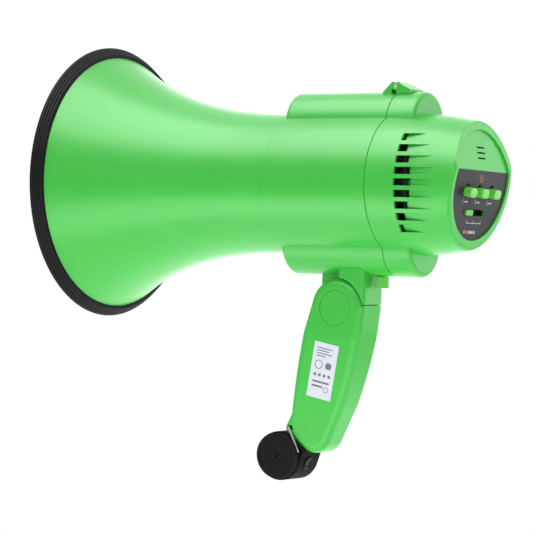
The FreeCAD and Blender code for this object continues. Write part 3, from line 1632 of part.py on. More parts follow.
def wire_loop(radius):
    """A closed loop of round wire through the ring's corners."""
    corners = ring_corners()
    loop = None
    for first, last in zip(corners, corners[1:] + corners[:1]):
        run = Part.makeCylinder(radius, (last - first).Length, first, last - first)
        bend = Part.makeSphere(radius, first)
        loop = run.fuse(bend) if loop is None else loop.fuse(run).fuse(bend)
    return loop.removeSplitter()


def wrist_strap():
    """Wire ring, rolled webbing strap and its press stud."""
    finish(shaped("ring_shape", wire_loop(size.ring_wire_radius)), "strap_ring")
    centre = Vector(size.roll_station, 0, -ROLL_DROP)
    start = centre - Vector(0, size.roll_front_y, 0)
    width = size.roll_front_y + size.roll_back_y
    roll = Part.makeCone(size.roll_radius, size.roll_far_radius, width, start, Vector(0, 1, 0))
    rim = [edge for edge in roll.Edges if edge.BoundBox.YLength < 0.1]
    roll = roll.makeChamfer(0.8, rim).fuse(strap_bight(centre))
    face = Part.Face(grip_outline(-ROLL_CLEARANCE))
    half = size.handle_foot_half_width + 1.2
    face.translate(Vector(0, -half, 0))
    roll = roll.cut(face.extrude(Vector(0, 2 * half, 0)))
    roll = roll.cut(wire_loop(size.ring_wire_radius + size.fit_gap))
    seat, outward = stud_seat(centre)
    stud = Part.makeCylinder(size.snap_radius, 2.4, seat - outward * 0.8, outward)
    roll = roll.cut(stud)
    largest = max(roll.Solids, key=lambda solid: solid.Volume)
    finish(shaped("roll_shape", largest.removeSplitter()), "wrist_strap")
    rim = [edge for edge in stud.Edges if edge.Closed]
    rim = [edge for edge in rim if (edge.BoundBox.Center - seat).Length > 1.2]
    finish(shaped("stud_shape", stud.makeFillet(0.8, rim)), "strap_snap")


def bight_tangents(centre):
    """Points where straight webbing leaves the roll and meets the bend about the wire."""
    foot = ring_corners()[2]
    foot = Vector(foot.x, 0, foot.z)
    run = foot - centre
    lean = math.atan2(run.z, run.x)
    spread = math.acos((size.roll_far_radius - size.strap_bight_radius) / run.Length)
    pairs = []
    for angle in (lean + spread, lean - spread):
        normal = Vector(math.cos(angle), 0, math.sin(angle))
        pairs.append((centre + normal * size.roll_far_radius, foot + normal * size.strap_bight_radius))
    return foot, pairs


def strap_bight(centre):
    """Webbing that leaves the roll, bends round the ring's lower wire and comes back."""
    foot, (upper, lower) = bight_tangents(centre)
    half = size.strap_half_width
    face = polygon_face([centre, upper[0], upper[1], foot, lower[1], lower[0]])
    face.translate(Vector(0, -half, 0))
    web = face.extrude(Vector(0, 2 * half, 0))
    start = foot - Vector(0, half, 0)
    return web.fuse(Part.makeCylinder(size.strap_bight_radius, 2 * half, start, Vector(0, 1, 0)))


def stud_seat(centre):
    """Middle of the press stud on the outer face of the webbing, and its outward normal."""
    _, (_, (near, far)) = bight_tangents(centre)
    along = (far - near).normalize()
    outward = Vector(-along.z, 0, along.x) * -1
    return near + along * 1.8 + Vector(0, 1.5, 0), outward


ROLL_CLEARANCE = 0.4

# ---------------------------------------------------------------- assembly

bell = horn_bell()
finish(shaped("bell", bell), "horn_bell")
rim_guard(bell)
throat_tube()
reflector_cup()
driver()
barrel_shell()
battery_sleeve("battery_sleeve_top", 1)
battery_sleeve("battery_sleeve_bottom", -1)
cells("battery_cells_top", 1)
cells("battery_cells_bottom", -1)
front_contacts()
rear_contacts()
rear_cover()
control_label()
control_board()
switch_bodies()
for number in (1, 2, 3):
    switch_knob(number)
mode_knob()
microphone()
amplifier()
latch()
volume_control()
handle_bracket()
bracket_screws()
grip_shells()
pivot()
handle_screws()
trigger()
handle_label()
wrist_strap()

doc.recompute()

# ---------------------------------------------------------------- checks and export

for item in doc.Objects:
    if "Invalid" in item.State or "Error" in item.State:
        raise RuntimeError(f"{item.Name} failed: {item.State}")

for node in nodes:
    shape = node.Shape
    if shape.isNull() or not shape.isValid() or not shape.Solids:
        raise RuntimeError(f"{node.Label} has no valid solid")

os.makedirs("parts", exist_ok=True)
for node in nodes:
    node.Shape.exportStep(f"parts/{node.Label}.step")
    bounds = node.Shape.BoundBox
    print(f"{node.Label}: {len(node.Shape.Solids)} solids, {node.Shape.Volume / 1000:.2f} cm3")

whole = Part.makeCompound([node.Shape for node in nodes]).BoundBox
print(f"overall {whole.XLength:.1f} x {whole.YLength:.1f} x {whole.ZLength:.1f} mm")
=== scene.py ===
# %% [markdown]
# # A handheld megaphone with a folding pistol grip
#
# The solids of this megaphone were drawn in CAD, to size, and they stay exactly where they
# are. This lesson gives every one of them the finish of the real material: semi-gloss green
# ABS, ribbed rubber, printed film, plated steel. It also models by hand the pieces whose
# real shape is finer than the solids: the rubber ring round the mouth, the knobs, the
# screws, the press stud and the rolled wrist strap.
#
# The first line that does anything loads the solids. Blender's own cube, lamp and camera are
# then deleted.

# %% Load the solids
import json
import math

import bmesh
import bpy
from mathutils import Matrix, Quaternion, Vector, kdtree


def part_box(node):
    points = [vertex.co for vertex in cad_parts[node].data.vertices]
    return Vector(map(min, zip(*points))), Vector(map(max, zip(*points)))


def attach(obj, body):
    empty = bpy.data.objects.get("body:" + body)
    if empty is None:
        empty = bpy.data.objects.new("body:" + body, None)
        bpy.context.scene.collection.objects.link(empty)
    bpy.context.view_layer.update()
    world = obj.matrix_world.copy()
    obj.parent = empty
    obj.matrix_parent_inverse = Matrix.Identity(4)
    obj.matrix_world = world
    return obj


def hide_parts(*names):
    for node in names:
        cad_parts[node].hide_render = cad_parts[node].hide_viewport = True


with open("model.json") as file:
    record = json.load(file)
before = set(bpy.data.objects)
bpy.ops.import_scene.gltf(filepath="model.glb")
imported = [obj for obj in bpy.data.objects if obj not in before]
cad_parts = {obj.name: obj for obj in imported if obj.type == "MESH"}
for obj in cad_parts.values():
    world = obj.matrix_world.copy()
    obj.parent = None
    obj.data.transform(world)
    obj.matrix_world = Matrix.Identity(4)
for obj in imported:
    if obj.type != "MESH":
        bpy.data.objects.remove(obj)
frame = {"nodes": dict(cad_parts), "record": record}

for left_over in ("Cube", "Light", "Camera"):
    if left_over in bpy.data.objects:
        bpy.data.objects.remove(bpy.data.objects[left_over])
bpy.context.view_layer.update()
nodes = frame["nodes"]

# %% [markdown]
# ## The point of view
#
# The picture was taken from the left and a little behind, with a long lens 1.8 m away, so the
# far side of the mouth looks almost as large as the near side. The camera hung a little
# crooked. That is the roll, a turn about the line of sight.

# %% Camera
SIGHT = Vector((0.9224, -1.5272, 0.0863))
AIM = Vector((-0.061915, 0.0, 0.083139))
ROLL = math.radians(1.726)
LENS = 162.1

bpy.ops.object.camera_add(location=SIGHT)
camera = bpy.context.object
camera.name = "picture_camera"
camera.data.sensor_width = 36
camera.data.lens = LENS
camera.data.clip_end = 50
camera.rotation_mode = "QUATERNION"
camera.rotation_quaternion = (AIM - SIGHT).to_track_quat("-Z", "Y") @ Quaternion((0, 0, 1), ROLL)
bpy.context.scene.camera = camera
bpy.context.scene.view_settings.view_transform = "Standard"
print("camera", round((AIM - SIGHT).length, 3), "m from its aim, lens", LENS)

# %% [markdown]
# ## Helpers for node trees
#
# Every finish below is a small tree of shader nodes. One helper adds a node, sets its values
# and joins its inputs, so that a finish reads as a list of what it is made of.


# %% Node helpers
def add_node(tree, kind, inputs=None, **settings):
    """Adds a node. An input is given by name or number, and is a value or another node's output."""
    node = tree.nodes.new("ShaderNode" + kind)
    for name, value in settings.items():
        setattr(node, name, value)
    for name, value in (inputs or {}).items():
        if isinstance(value, bpy.types.NodeSocket):
            tree.links.new(value, node.inputs[name])
        else:
            node.inputs[name].default_value = value
    return node


def math_node(tree, operation, *values, clamp=False):
    """One sum, product or other operation, and its result."""
    node = add_node(tree, "Math", dict(enumerate(values)), operation=operation, use_clamp=clamp)
    return node.outputs[0]


def between(tree, share, low, high):
    """A value that runs from low to high as share runs from 0 to 1."""
    settings = {"Value": share, "To Min": low, "To Max": high}
    return add_node(tree, "MapRange", settings).outputs[0]


def mixed(tree, share, first, second):
    """A colour that runs from first to second as share runs from 0 to 1."""
    inputs = {0: share, 6: first, 7: second}
    return add_node(tree, "Mix", inputs, data_type="RGBA").outputs[2]


print("node helpers are ready")

# %% [markdown]
# ## The studio
#
# Product pictures like this one are lit by large white panels above and below, with the
# horizon left dark, which gives glossy plastic its two light bands and the deep colour
# between them. The world's brightness here depends on the height of the ray, through a colour
# ramp. Rays that come straight from the camera see plain white instead, as the background of
# the picture is. One more glow stands behind the megaphone and lights its grazing edges.

# %% World
BEHIND = (AIM - SIGHT).normalized()
STRENGTH = 2.4
GLOW_SHARE = 0.8
GLOW_CONE = {"From Min": 0.8, "From Max": 0.97}
HEIGHTS = ((0.0, 0.55), (0.13, 0.5), (0.3, 0.30), (0.5, 0.28), (0.7, 0.34), (0.88, 0.68))

world = bpy.data.worlds.new("studio")
bpy.context.scene.world = world
world.use_nodes = True
sky = world.node_tree
sky.nodes.clear()
ray = add_node(sky, "TexCoord").outputs["Generated"]
height = add_node(sky, "SeparateXYZ", {0: ray}).outputs["Z"]
ramp = add_node(sky, "ValToRGB", {0: math_node(sky, "MULTIPLY_ADD", height, 0.5, 0.5)})
while len(ramp.color_ramp.elements) < len(HEIGHTS):
    ramp.color_ramp.elements.new(0.5)
for element, (place, brightness) in zip(ramp.color_ramp.elements, HEIGHTS):
    element.position = place
    element.color = (brightness, brightness, brightness, 1)
facing = add_node(sky, "VectorMath", {0: ray, 1: BEHIND}, operation="DOT_PRODUCT").outputs["Value"]
glow = add_node(sky, "MapRange", {"Value": facing, **GLOW_CONE}).outputs[0]
brightness = math_node(sky, "ADD", ramp.outputs[0], math_node(sky, "MULTIPLY", glow, GLOW_SHARE))
lit = add_node(sky, "Background", {"Color": brightness, "Strength": STRENGTH})
seen = add_node(sky, "Background", {"Color": (1, 1, 1, 1), "Strength": 1.0})
from_camera = add_node(sky, "LightPath").outputs["Is Camera Ray"]
either = add_node(sky, "MixShader", {0: from_camera, 1: lit.outputs[0], 2: seen.outputs[0]})
add_node(sky, "OutputWorld", {"Surface": either.outputs[0]})
print("world with", len(sky.nodes), "nodes")

# %% [markdown]
# Four panels are area lights: one above, one below, one behind on the right, and a narrow
# strip behind on the left. A saturated plastic would burn out under lights as bright as its
# reflections need, so these only show in reflections, and the world does the rest. The pale
# floor lies well below the megaphone, out of the picture, and throws light back up. The low
# panel is set half into it, so only the raised half shows.

# %% Lights and floor
FLOOR_HEIGHT = -0.4
FLOOR_RADIUS = 1.3


def panel_light(name, place, aim, sides, watts):
    """A rectangular softbox that the camera doesn't see."""
    bpy.ops.object.light_add(type="AREA", location=place)
    light = bpy.context.object
    light.name = name
    light.rotation_mode = "QUATERNION"
    light.rotation_quaternion = (Vector(aim) - Vector(place)).to_track_quat("-Z", "Y")
    light.data.shape = "RECTANGLE"
    light.data.size, light.data.size_y = sides
    light.data.energy = watts
    light.visible_camera = False
    light.visible_diffuse = False


panel_light("top_panel", (-0.10, -0.46, 1.22), (-0.04, 0, 0.1), (1.5, 1.15), 28)
panel_light("low_panel", (-0.10, -0.44, -0.40), (-0.04, 0, 0.2), (1.4, 0.80), 9)
panel_light("rear_panel", (0.75, 1.05, 0.33), (0.12, 0, 0.15), (0.8, 0.9), 4)
panel_light("side_strip", (1.02, -0.62, 0.05), (0.05, 0, 0.08), (0.14, 1.1), 2.2)

bpy.ops.mesh.primitive_circle_add(
    vertices=128, radius=FLOOR_RADIUS, fill_type="NGON", location=(-0.04, 0, FLOOR_HEIGHT),
)
floor = bpy.context.object
floor.name = "floor"
paper = bpy.data.materials.new("pale_floor")
paper.use_nodes = True
tree = paper.node_tree
mottle = add_node(tree, "TexNoise", {"Scale": 6.0, "Detail": 2.0}).outputs[0]
tone = mixed(tree, mottle, (0.80, 0.80, 0.80, 1), (0.84, 0.84, 0.84, 1))
shader = tree.nodes["Principled BSDF"]
tree.links.new(tone, shader.inputs["Base Color"])
shader.inputs["Roughness"].default_value = 0.9
shader.inputs["Specular IOR Level"].default_value = 0.1
shader.inputs["Emission Color"].default_value = (1, 1, 1, 1)
shader.inputs["Emission Strength"].default_value = 0.6
floor.data.materials.append(paper)
print("floor at", FLOOR_HEIGHT, "m")

# %% [markdown]
# ## Effects that several finishes share
#
# A moulded edge is never sharp: steel moulds round it by a few tenths of a millimetre. A
# Bevel node bends the normals near an edge in the same way, without touching the mesh. Where
# the bent normal differs from the true one there is an edge, and that difference is also the
# mask for a painted highlight: a lighter line along the edge that stands in for the light its
# rounding reflects. Fine grain goes on top as a bump.


# %% Group: softened edges with grain
def new_group(name, inputs, outputs):
    """A shader group with named sockets. Returns it with its input and output nodes."""
    group = bpy.data.node_groups.new(name, "ShaderNodeTree")
    for socket, kind, value in inputs:
        made = group.interface.new_socket(socket, in_out="INPUT", socket_type="NodeSocket" + kind)
        if value is not None:
            made.default_value = value
    for socket, kind in outputs:
        group.interface.new_socket(socket, in_out="OUTPUT", socket_type="NodeSocket" + kind)
    start = group.nodes.new("NodeGroupInput")
    end = group.nodes.new("NodeGroupOutput")
    return group, start, end


def place_group(tree, group, **values):
    """Puts a group into a finish. Socket names are given with _ for a space."""
    node = tree.nodes.new("ShaderNodeGroup")
    node.node_tree = group
    for name, value in values.items():
        node.inputs[name.replace("_", " ")].default_value = value
    return node


soft_edges, start, end = new_group(
    "soft_moulded_edges",
    [("Edge Radius", "Float", 0.0004), ("Grain Scale", "Float", 2500.0), ("Grain Height", "Float", 4e-6)],
    [("Normal", "Vector"), ("Edge", "Float")],
)
place = add_node(soft_edges, "TexCoord").outputs["Object"]
grain = add_node(
    soft_edges, "TexNoise",
    {"Vector": place, "Scale": start.outputs["Grain Scale"], "Detail": 2.0, "Roughness": 0.6},
).outputs[0]
rounded = add_node(soft_edges, "Bevel", {"Radius": start.outputs["Edge Radius"]}, samples=6).outputs[0]
bumped = add_node(
    soft_edges, "Bump",
    {"Strength": 1.0, "Distance": start.outputs["Grain Height"], "Height": grain, "Normal": rounded},
).outputs[0]
true_normal = add_node(soft_edges, "NewGeometry").outputs["Normal"]
alike = add_node(
    soft_edges, "VectorMath", {0: rounded, 1: true_normal}, operation="DOT_PRODUCT"
).outputs["Value"]
# This edge mask, broken up by patches, is the mask of the painted edge highlight.
edge = add_node(soft_edges, "MapRange", {"Value": alike, "From Min": 0.99, "From Max": 0.8}).outputs[0]
patchy = add_node(soft_edges, "TexNoise", {"Vector": place, "Scale": 160.0, "Detail": 3.0}).outputs[0]
patchy = between(soft_edges, patchy, 0.3, 1.2)
soft_edges.links.new(bumped, end.inputs["Normal"])
soft_edges.links.new(math_node(soft_edges, "MULTIPLY", edge, patchy, clamp=True), end.inputs["Edge"])
print(soft_edges.name, len(soft_edges.nodes), "nodes")

# %% [markdown]
# Moulded and handled parts also differ slowly from place to place: the pigment flows, hands
# polish one area, and a few specks of dust settle. The second group gives two masks for that.

# %% Group: slow variation and specks
handling, start, end = new_group(
    "handled_surface",
    [("Patch Scale", "Float", 14.0), ("Speck Scale", "Float", 900.0)],
    [("Patches", "Float"), ("Specks", "Float")],
)
place = add_node(handling, "TexCoord").outputs["Object"]
patches = add_node(
    handling, "TexNoise", {"Vector": place, "Scale": start.outputs["Patch Scale"], "Detail": 4.0}
).outputs[0]
patches = add_node(handling, "MapRange", {"Value": patches, "From Min": 0.3, "From Max": 0.7}).outputs[0]
specks = add_node(
    handling, "TexVoronoi", {"Vector": place, "Scale": start.outputs["Speck Scale"]}
).outputs["Distance"]
specks = add_node(handling, "MapRange", {"Value": specks, "From Min": 0.09, "From Max": 0.03}).outputs[0]
handling.links.new(patches, end.inputs["Patches"])
handling.links.new(specks, end.inputs["Specks"])
print(handling.name, len(handling.nodes), "nodes")

# %% [markdown]
# ## Moulded finishes
#
# Plastic, rubber, film and metal are the same tree with other numbers. Two close tones are
# mixed by the patches, the edges get a lighter tone as a painted highlight, and the roughness
# follows the patches.
# What is the same all over a piece is set on the shader itself.


# %% Finish helper
def finish(name, tones, edge_highlight_tone, roughness, edge=0.35, radius=4e-4, grain=(2500.0, 4e-6), patch=14.0,
           speck=0.0, **fixed):
    """A material from two tones, an edge tone painted on as a highlight, and a smoothest and roughest value.
    """
    material = bpy.data.materials.new(name)
    material.use_nodes = True
    tree = material.node_tree
    shader = tree.nodes["Principled BSDF"]
    soft = place_group(tree, soft_edges, Edge_Radius=radius, Grain_Scale=grain[0], Grain_Height=grain[1])
    hands = place_group(tree, handling, Patch_Scale=patch)
    colour = mixed(tree, hands.outputs["Patches"], (*tones[0], 1), (*tones[1], 1))
    # Painted highlight: the edge tone, lighter than the body, is mixed in along the edges by the edge mask
    # times edge. Dust specks, where speck is set, are added to that mask.
    edge_highlight_and_dust = math_node(tree, "MULTIPLY", soft.outputs["Edge"], edge)
    if speck:
        dust = math_node(tree, "MULTIPLY", hands.outputs["Specks"], speck)
        edge_highlight_and_dust = math_node(tree, "MAXIMUM", edge_highlight_and_dust, dust)
    colour = mixed(tree, edge_highlight_and_dust, colour, (*edge_highlight_tone, 1))
    tree.links.new(colour, shader.inputs["Base Color"])
    tree.links.new(between(tree, hands.outputs["Patches"], *roughness), shader.inputs["Roughness"])
    tree.links.new(soft.outputs["Normal"], shader.inputs["Normal"])
    for socket, value in fixed.items():
        shader.inputs[socket.replace("_", " ")].default_value = value
    return material


shell_green = finish(
    "moulded_green_abs", ((0.030, 0.440, 0.036), (0.033, 0.462, 0.039)), (0.10, 0.62, 0.10), (0.31, 0.36),
)
knob_green = finish(
    "knob_yellow_green", ((0.112, 0.575, 0.056), (0.125, 0.610, 0.062)), (0.28, 0.78, 0.20), (0.28, 0.36),
    patch=60.0, radius=3e-4,
)
print("finishes:", shell_green.name, knob_green.name)

# %% Rubber, films and inner plastics
guard_rubber = finish(
    "ribbed_black_rubber", ((0.005, 0.005, 0.0055), (0.008, 0.008, 0.009)), (0.024, 0.024, 0.026),
    (0.45, 0.58), grain=(1800.0, 1.2e-5), patch=30.0, speck=0.2, Specular_IOR_Level=0.12,
)
label_film = finish(
    "dark_panel_film", ((0.013, 0.012, 0.017), (0.017, 0.016, 0.021)), (0.07, 0.07, 0.08), (0.42, 0.52),
    radius=1e-4, grain=(4200.0, 5e-6), patch=40.0, Specular_IOR_Level=0.26,
)
sticker_film = finish(
    "pale_sticker_film", ((0.61, 0.64, 0.72), (0.64, 0.67, 0.75)), (0.72, 0.74, 0.80), (0.42, 0.50),
    radius=1e-4, grain=(1200.0, 3e-6), patch=50.0,
)
inner_plastic = finish(
    "inner_black_plastic", ((0.020, 0.020, 0.022), (0.026, 0.026, 0.028)), (0.07, 0.07, 0.07), (0.45, 0.6),
    grain=(1500.0, 1e-5), patch=40.0,
)
cell_jacket = finish(
    "plain_cell_jacket", ((0.030, 0.034, 0.055), (0.036, 0.040, 0.062)), (0.16, 0.16, 0.18), (0.25, 0.33),
    patch=40.0, Coat_Weight=0.3,
)
diaphragm_film = finish(
    "amber_diaphragm_film", ((0.62, 0.50, 0.30), (0.68, 0.56, 0.36)), (0.75, 0.66, 0.48), (0.30, 0.42),
    patch=90.0,
)
label_ink = finish(
    "label_ink", ((0.42, 0.42, 0.44), (0.50, 0.50, 0.52)), (0.55, 0.55, 0.56), (0.45, 0.55),
    radius=5e-5, patch=300.0,
)
accent_ink = finish(
    "accent_ink", ((0.34, 0.13, 0.05), (0.40, 0.16, 0.07)), (0.45, 0.2, 0.1), (0.45, 0.55),
    radius=5e-5, patch=300.0,
)
sticker_ink = finish(
    "sticker_ink", ((0.12, 0.12, 0.14), (0.17, 0.17, 0.19)), (0.2, 0.2, 0.2), (0.5, 0.6),
    radius=5e-5, patch=400.0,
)
felt = finish(
    "black_felt", ((0.003, 0.003, 0.003), (0.006, 0.006, 0.006)), (0.02, 0.02, 0.02), (0.85, 0.95),
    grain=(5000.0, 4e-5), patch=400.0, Specular_IOR_Level=0.1,
)
print("rubber, films, felt and inner plastics are ready")

# %% [markdown]
# Metals differ from plastics in one value, Metallic. Plated steel is bright and smooth, the
# ceramic magnet is grey and rough, and the black stud is enamel over metal.

# %% Metals
plated_steel = finish(
    "plated_steel", ((0.56, 0.55, 0.53), (0.64, 0.63, 0.61)), (0.75, 0.74, 0.72), (0.18, 0.30),
    radius=2e-4, grain=(3000.0, 3e-6), patch=120.0, Metallic=1.0,
)
drawn_wire = finish(
    "drawn_steel_wire", ((0.27, 0.27, 0.26), (0.36, 0.36, 0.34)), (0.5, 0.5, 0.48), (0.22, 0.32),
    radius=2e-4, grain=(3000.0, 3e-6), patch=150.0, Metallic=1.0,
)
magnet_ceramic = finish(
    "grey_ceramic", ((0.055, 0.055, 0.060), (0.075, 0.075, 0.080)), (0.16, 0.16, 0.17), (0.5, 0.65),
    grain=(900.0, 2e-5), patch=60.0, Metallic=0.3,
)
coil_copper = finish(
    "coil_copper", ((0.66, 0.26, 0.11), (0.72, 0.31, 0.14)), (0.8, 0.45, 0.25), (0.25, 0.35),
    patch=200.0, Metallic=1.0,
)
aluminium = finish(
    "satin_aluminium", ((0.62, 0.63, 0.65), (0.70, 0.71, 0.73)), (0.85, 0.85, 0.86), (0.32, 0.45),
    grain=(1600.0, 6e-6), patch=60.0, Metallic=1.0,
)
# The stud's rim gets a strong painted highlight: edge 0.7 mixes the grey edge tone in along its rolled edges.
stud_enamel = finish(
    "stud_enamel", ((0.003, 0.003, 0.0033), (0.005, 0.005, 0.0053)), (0.20, 0.20, 0.20), (0.36, 0.46),
    edge=0.7, radius=2.5e-4, patch=200.0, Specular_IOR_Level=0.16,
)
print("metals are ready")

# %% [markdown]
# A circuit board is the green of its solder mask, crossed by lighter copper tracks. Tracks run
# straight and turn square, so they come from the cell walls of a brick pattern.

# %% Circuit board
circuit_board = finish(
    "solder_mask_green", ((0.010, 0.105, 0.045), (0.014, 0.130, 0.055)), (0.10, 0.30, 0.15), (0.28, 0.36),
    radius=1e-4, patch=60.0,
)
tree = circuit_board.node_tree
shader = tree.nodes["Principled BSDF"]
place = add_node(tree, "TexCoord").outputs["Object"]
turned_place = add_node(tree, "Mapping", {"Vector": place, "Rotation": (0, math.pi / 2, 0)}).outputs[0]
tracks = add_node(
    tree, "TexBrick",
    {"Vector": turned_place, "Scale": 120.0, "Mortar Size": 0.06, "Brick Width": 0.9, "Row Height": 0.28},
).outputs["Fac"]
plain = shader.inputs["Base Color"].links[0].from_socket
tree.links.new(mixed(tree, tracks, plain, (0.05, 0.24, 0.10, 1)), shader.inputs["Base Color"])
print(circuit_board.name, len(tree.nodes), "nodes")

# %% [markdown]
# ## Dressing the solids
#
# The record of the part says which finish each solid has. The solids keep their meshes, and
# only their material is replaced. The microphone's capsule, behind the three slots of the rear
# face, has black felt on its front, which keeps breath out of it. The strap's ring is bare
# drawn wire, duller than the plated screws.

# %% Give every solid its finish
finishes = {
    "shell_plastic": shell_green, "guard_rubber": guard_rubber, "knob_plastic": knob_green,
    "label_film": label_film, "sticker_film": sticker_film, "steel": plated_steel,
    "magnet_ceramic": magnet_ceramic, "diaphragm_film": diaphragm_film, "copper": coil_copper,
    "inner_plastic": inner_plastic, "cell_jacket": cell_jacket, "circuit_board": circuit_board,
    "aluminium": aluminium, "stud_metal": stud_enamel,
}


def dress(piece, material):
    """Gives a piece one material in place of what it has."""
    piece.data.materials.clear()
    piece.data.materials.append(material)


slot_of = {row["node"]: row["material_slot"] for row in frame["record"]["subparts"]}
for name, slot in slot_of.items():
    if slot in finishes:
        dress(nodes[name], finishes[slot])
dress(nodes["microphone_capsule"], felt)
dress(nodes["strap_ring"], drawn_wire)
print("dressed", sum(slot in finishes for slot in slot_of.values()), "solids")

# %% [markdown]
# ## Helpers for modelling
#
# The pieces are made with the same operators that a hand would use in the viewport. An
# operator works on all that is selected, so each piece starts with everything deselected.
# Lengths are given in millimetres, in the megaphone's own axes: X runs from the mouth to the
# rear panel, Y to its right and Z up. The horn's axis is 146 mm above X and Y.


# %% Places
AXIS_HEIGHT = 146.0
MOUTH = -209.0


def mm(x, y, z):
    """A point given in millimetres."""
    return Vector((x, y, z)) / 1000


def matrix_of(columns):
    """A matrix from three axes and an origin."""
    matrix = Matrix.Identity(4)
    for index, column in enumerate(columns):
        for row in range(3):
            matrix[row][index] = column[row]
    return matrix


print("the horn's axis is", AXIS_HEIGHT, "mm up, its mouth at", MOUTH)


# %% Helpers in edit mode
def begin(name, operator, **settings):
    """Adds a primitive, alone in the selection, and leaves it in edit mode."""
    bpy.ops.object.select_all(action="DESELECT")
    operator(**settings)
    piece = bpy.context.object
    piece.name = name
    piece.data.name = name
    bpy.ops.object.mode_set(mode="EDIT")
    return piece


def pick(piece, kind, test):
    """In edit mode, selects faces by middle and normal, or edges by middle and run."""
    bpy.ops.mesh.select_mode(type=kind)
    bpy.ops.mesh.select_all(action="DESELECT")
    mesh = bmesh.from_edit_mesh(piece.data)
    for item in mesh.faces if kind == "FACE" else mesh.edges:
        if kind == "FACE":
            chosen = test(item.calc_center_median(), item.normal)
        else:
            chosen = test((item.verts[0].co + item.verts[1].co) / 2, item.verts[1].co - item.verts[0].co)
        item.select_set(chosen)
    mesh.select_flush_mode()
    bmesh.update_edit_mesh(piece.data)


def seal(merge=1e-6):
    """In edit mode, merges doubled points and turns all faces outwards."""
    bpy.ops.mesh.select_all(action="SELECT")
    bpy.ops.mesh.remove_doubles(threshold=merge)
    bpy.ops.mesh.normals_make_consistent(inside=False)


print("helpers for edit mode are ready")


# %% Helpers for whole pieces
def copy_piece(piece, name):
    """A copy with a mesh of its own."""
    copy = piece.copy()
    copy.data = piece.data.copy()
    copy.name = copy.data.name = name
    bpy.context.collection.objects.link(copy)
    return copy


def join(name, pieces):
    """Joins pieces into one."""
    bpy.ops.object.select_all(action="DESELECT")
    for piece in pieces:
        piece.select_set(True)
    bpy.context.view_layer.objects.active = pieces[0]
    bpy.ops.object.join()
    joined = bpy.context.object
    joined.name = joined.data.name = name
    return joined


def settle(piece):
    """Selects one piece and sets its object to the origin, without moving the mesh."""
    bpy.ops.object.select_all(action="DESELECT")
    piece.select_set(True)
    bpy.context.view_layer.objects.active = piece
    bpy.ops.object.transform_apply(location=True, rotation=True, scale=True)


def place_piece(piece, matrix):
    """Moves a finished mesh to its place and leaves its object at the origin."""
    bpy.ops.object.mode_set(mode="OBJECT")
    piece.matrix_world = matrix @ piece.matrix_world
    settle(piece)


def hand_over(piece, material, slot, body, *stands_for, angle=35):
    """Shades a piece, gives it its finish, and lets it ride on its body in place of the solids."""
    if piece.mode == "EDIT":
        bpy.ops.object.mode_set(mode="OBJECT")
    settle(piece)
    bpy.ops.object.shade_smooth_by_angle(angle=math.radians(angle))
    dress(piece, material)
    if stands_for:
        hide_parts(*stands_for)
    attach(piece, body)
    size = [round(1000 * v, 1) for v in piece.dimensions]
    print(piece.name, len(piece.data.polygons), "faces, size in mm", size)


def modify(piece, kind, **settings):
    """Adds a modifier and applies it."""
    bpy.context.view_layer.objects.active = piece
    modifier = piece.modifiers.new(kind.lower(), kind)
    for name, value in settings.items():
        setattr(modifier, name, value)
    bpy.ops.object.modifier_apply(modifier=modifier.name)


print("helpers for whole pieces are ready")


# %% Lines and turned shapes
def draw_line(name, points):
    """A chain of edges through the points, drawn by extruding one point again and again."""
    piece = begin(name, bpy.ops.mesh.primitive_plane_add, size=0.001, location=points[0])
    bpy.ops.mesh.select_mode(type="VERT")
    bpy.ops.mesh.select_all(action="SELECT")
    bpy.ops.mesh.merge(type="CENTER")
    for here, there in zip(points, points[1:]):
        bpy.ops.mesh.extrude_region_move(TRANSFORM_OT_translate={"value": there - here})
    return piece


def turn_profile(name, points, centre, axis, steps):
    """A turned piece: a closed profile, spun once round an axis."""
    piece = draw_line(name, points)
    bpy.ops.mesh.select_all(action="SELECT")
    bpy.ops.mesh.spin(steps=steps, angle=2 * math.pi, center=centre, axis=axis)
    seal(merge=2e-6)
    return piece


print("helpers for lines and turned shapes are ready")

# %% [markdown]
# ## The rubber ring round the mouth
#
# The mouth's edge is held by a black rubber ring. Behind its nose it steps down in four fine
# rounded ribs, which catch the light as thin grey lines. It is a turned shape, so half of the
# work is its profile: the ribs are short arcs over a sloping line. The profile is then spun
# round the horn's axis. The ring's inner corner is hidden in the wall of the bell.

# %% Rim guard
RIBS = 4
RIB_HEIGHT = 0.62
SLOPE = ((1.0, 104.75), (7.75, 99.45))

ring_profile = [
    (7.75, 98.6), (7.75, 96.7), (5.4, 97.4), (5.4, 94.0), (5.2, 93.55), (4.7, 93.55), (2.0, 94.75),
    (0.75, 95.35), (0.2, 95.9), (0.0, 96.7), (0.0, 99.5), (0.3, 99.75), (0.45, 100.1), (0.3, 100.45),
    (0.0, 100.7), (0.0, 104.2), (0.08, 104.75), (0.3, 105.25), (0.6, 105.45), (0.85, 105.2),
]
lean = math.atan2(SLOPE[0][1] - SLOPE[1][1], SLOPE[1][0] - SLOPE[0][0])
outwards = Vector((math.sin(lean), math.cos(lean)))
foot, top = Vector(SLOPE[0]), Vector(SLOPE[1])
ARC = 7
for rib in range(RIBS):
    for step in range(ARC + 1):
        if rib and not step:
            continue
        share = step / ARC
        on_slope = foot.lerp(top, (rib + share) / RIBS)
        ring_profile.append(tuple(on_slope + outwards * RIB_HEIGHT * math.sin(math.pi * share) ** 0.75))
ring_profile.append(ring_profile[0])
points = [mm(MOUTH + station, 0, AXIS_HEIGHT + radius) for station, radius in ring_profile]
guard = turn_profile("rubber_rim_guard", points, mm(0, 0, AXIS_HEIGHT), (1, 0, 0), 192)
hand_over(guard, guard_rubber, "guard_rubber", "horn", "rim_guard", angle=40)

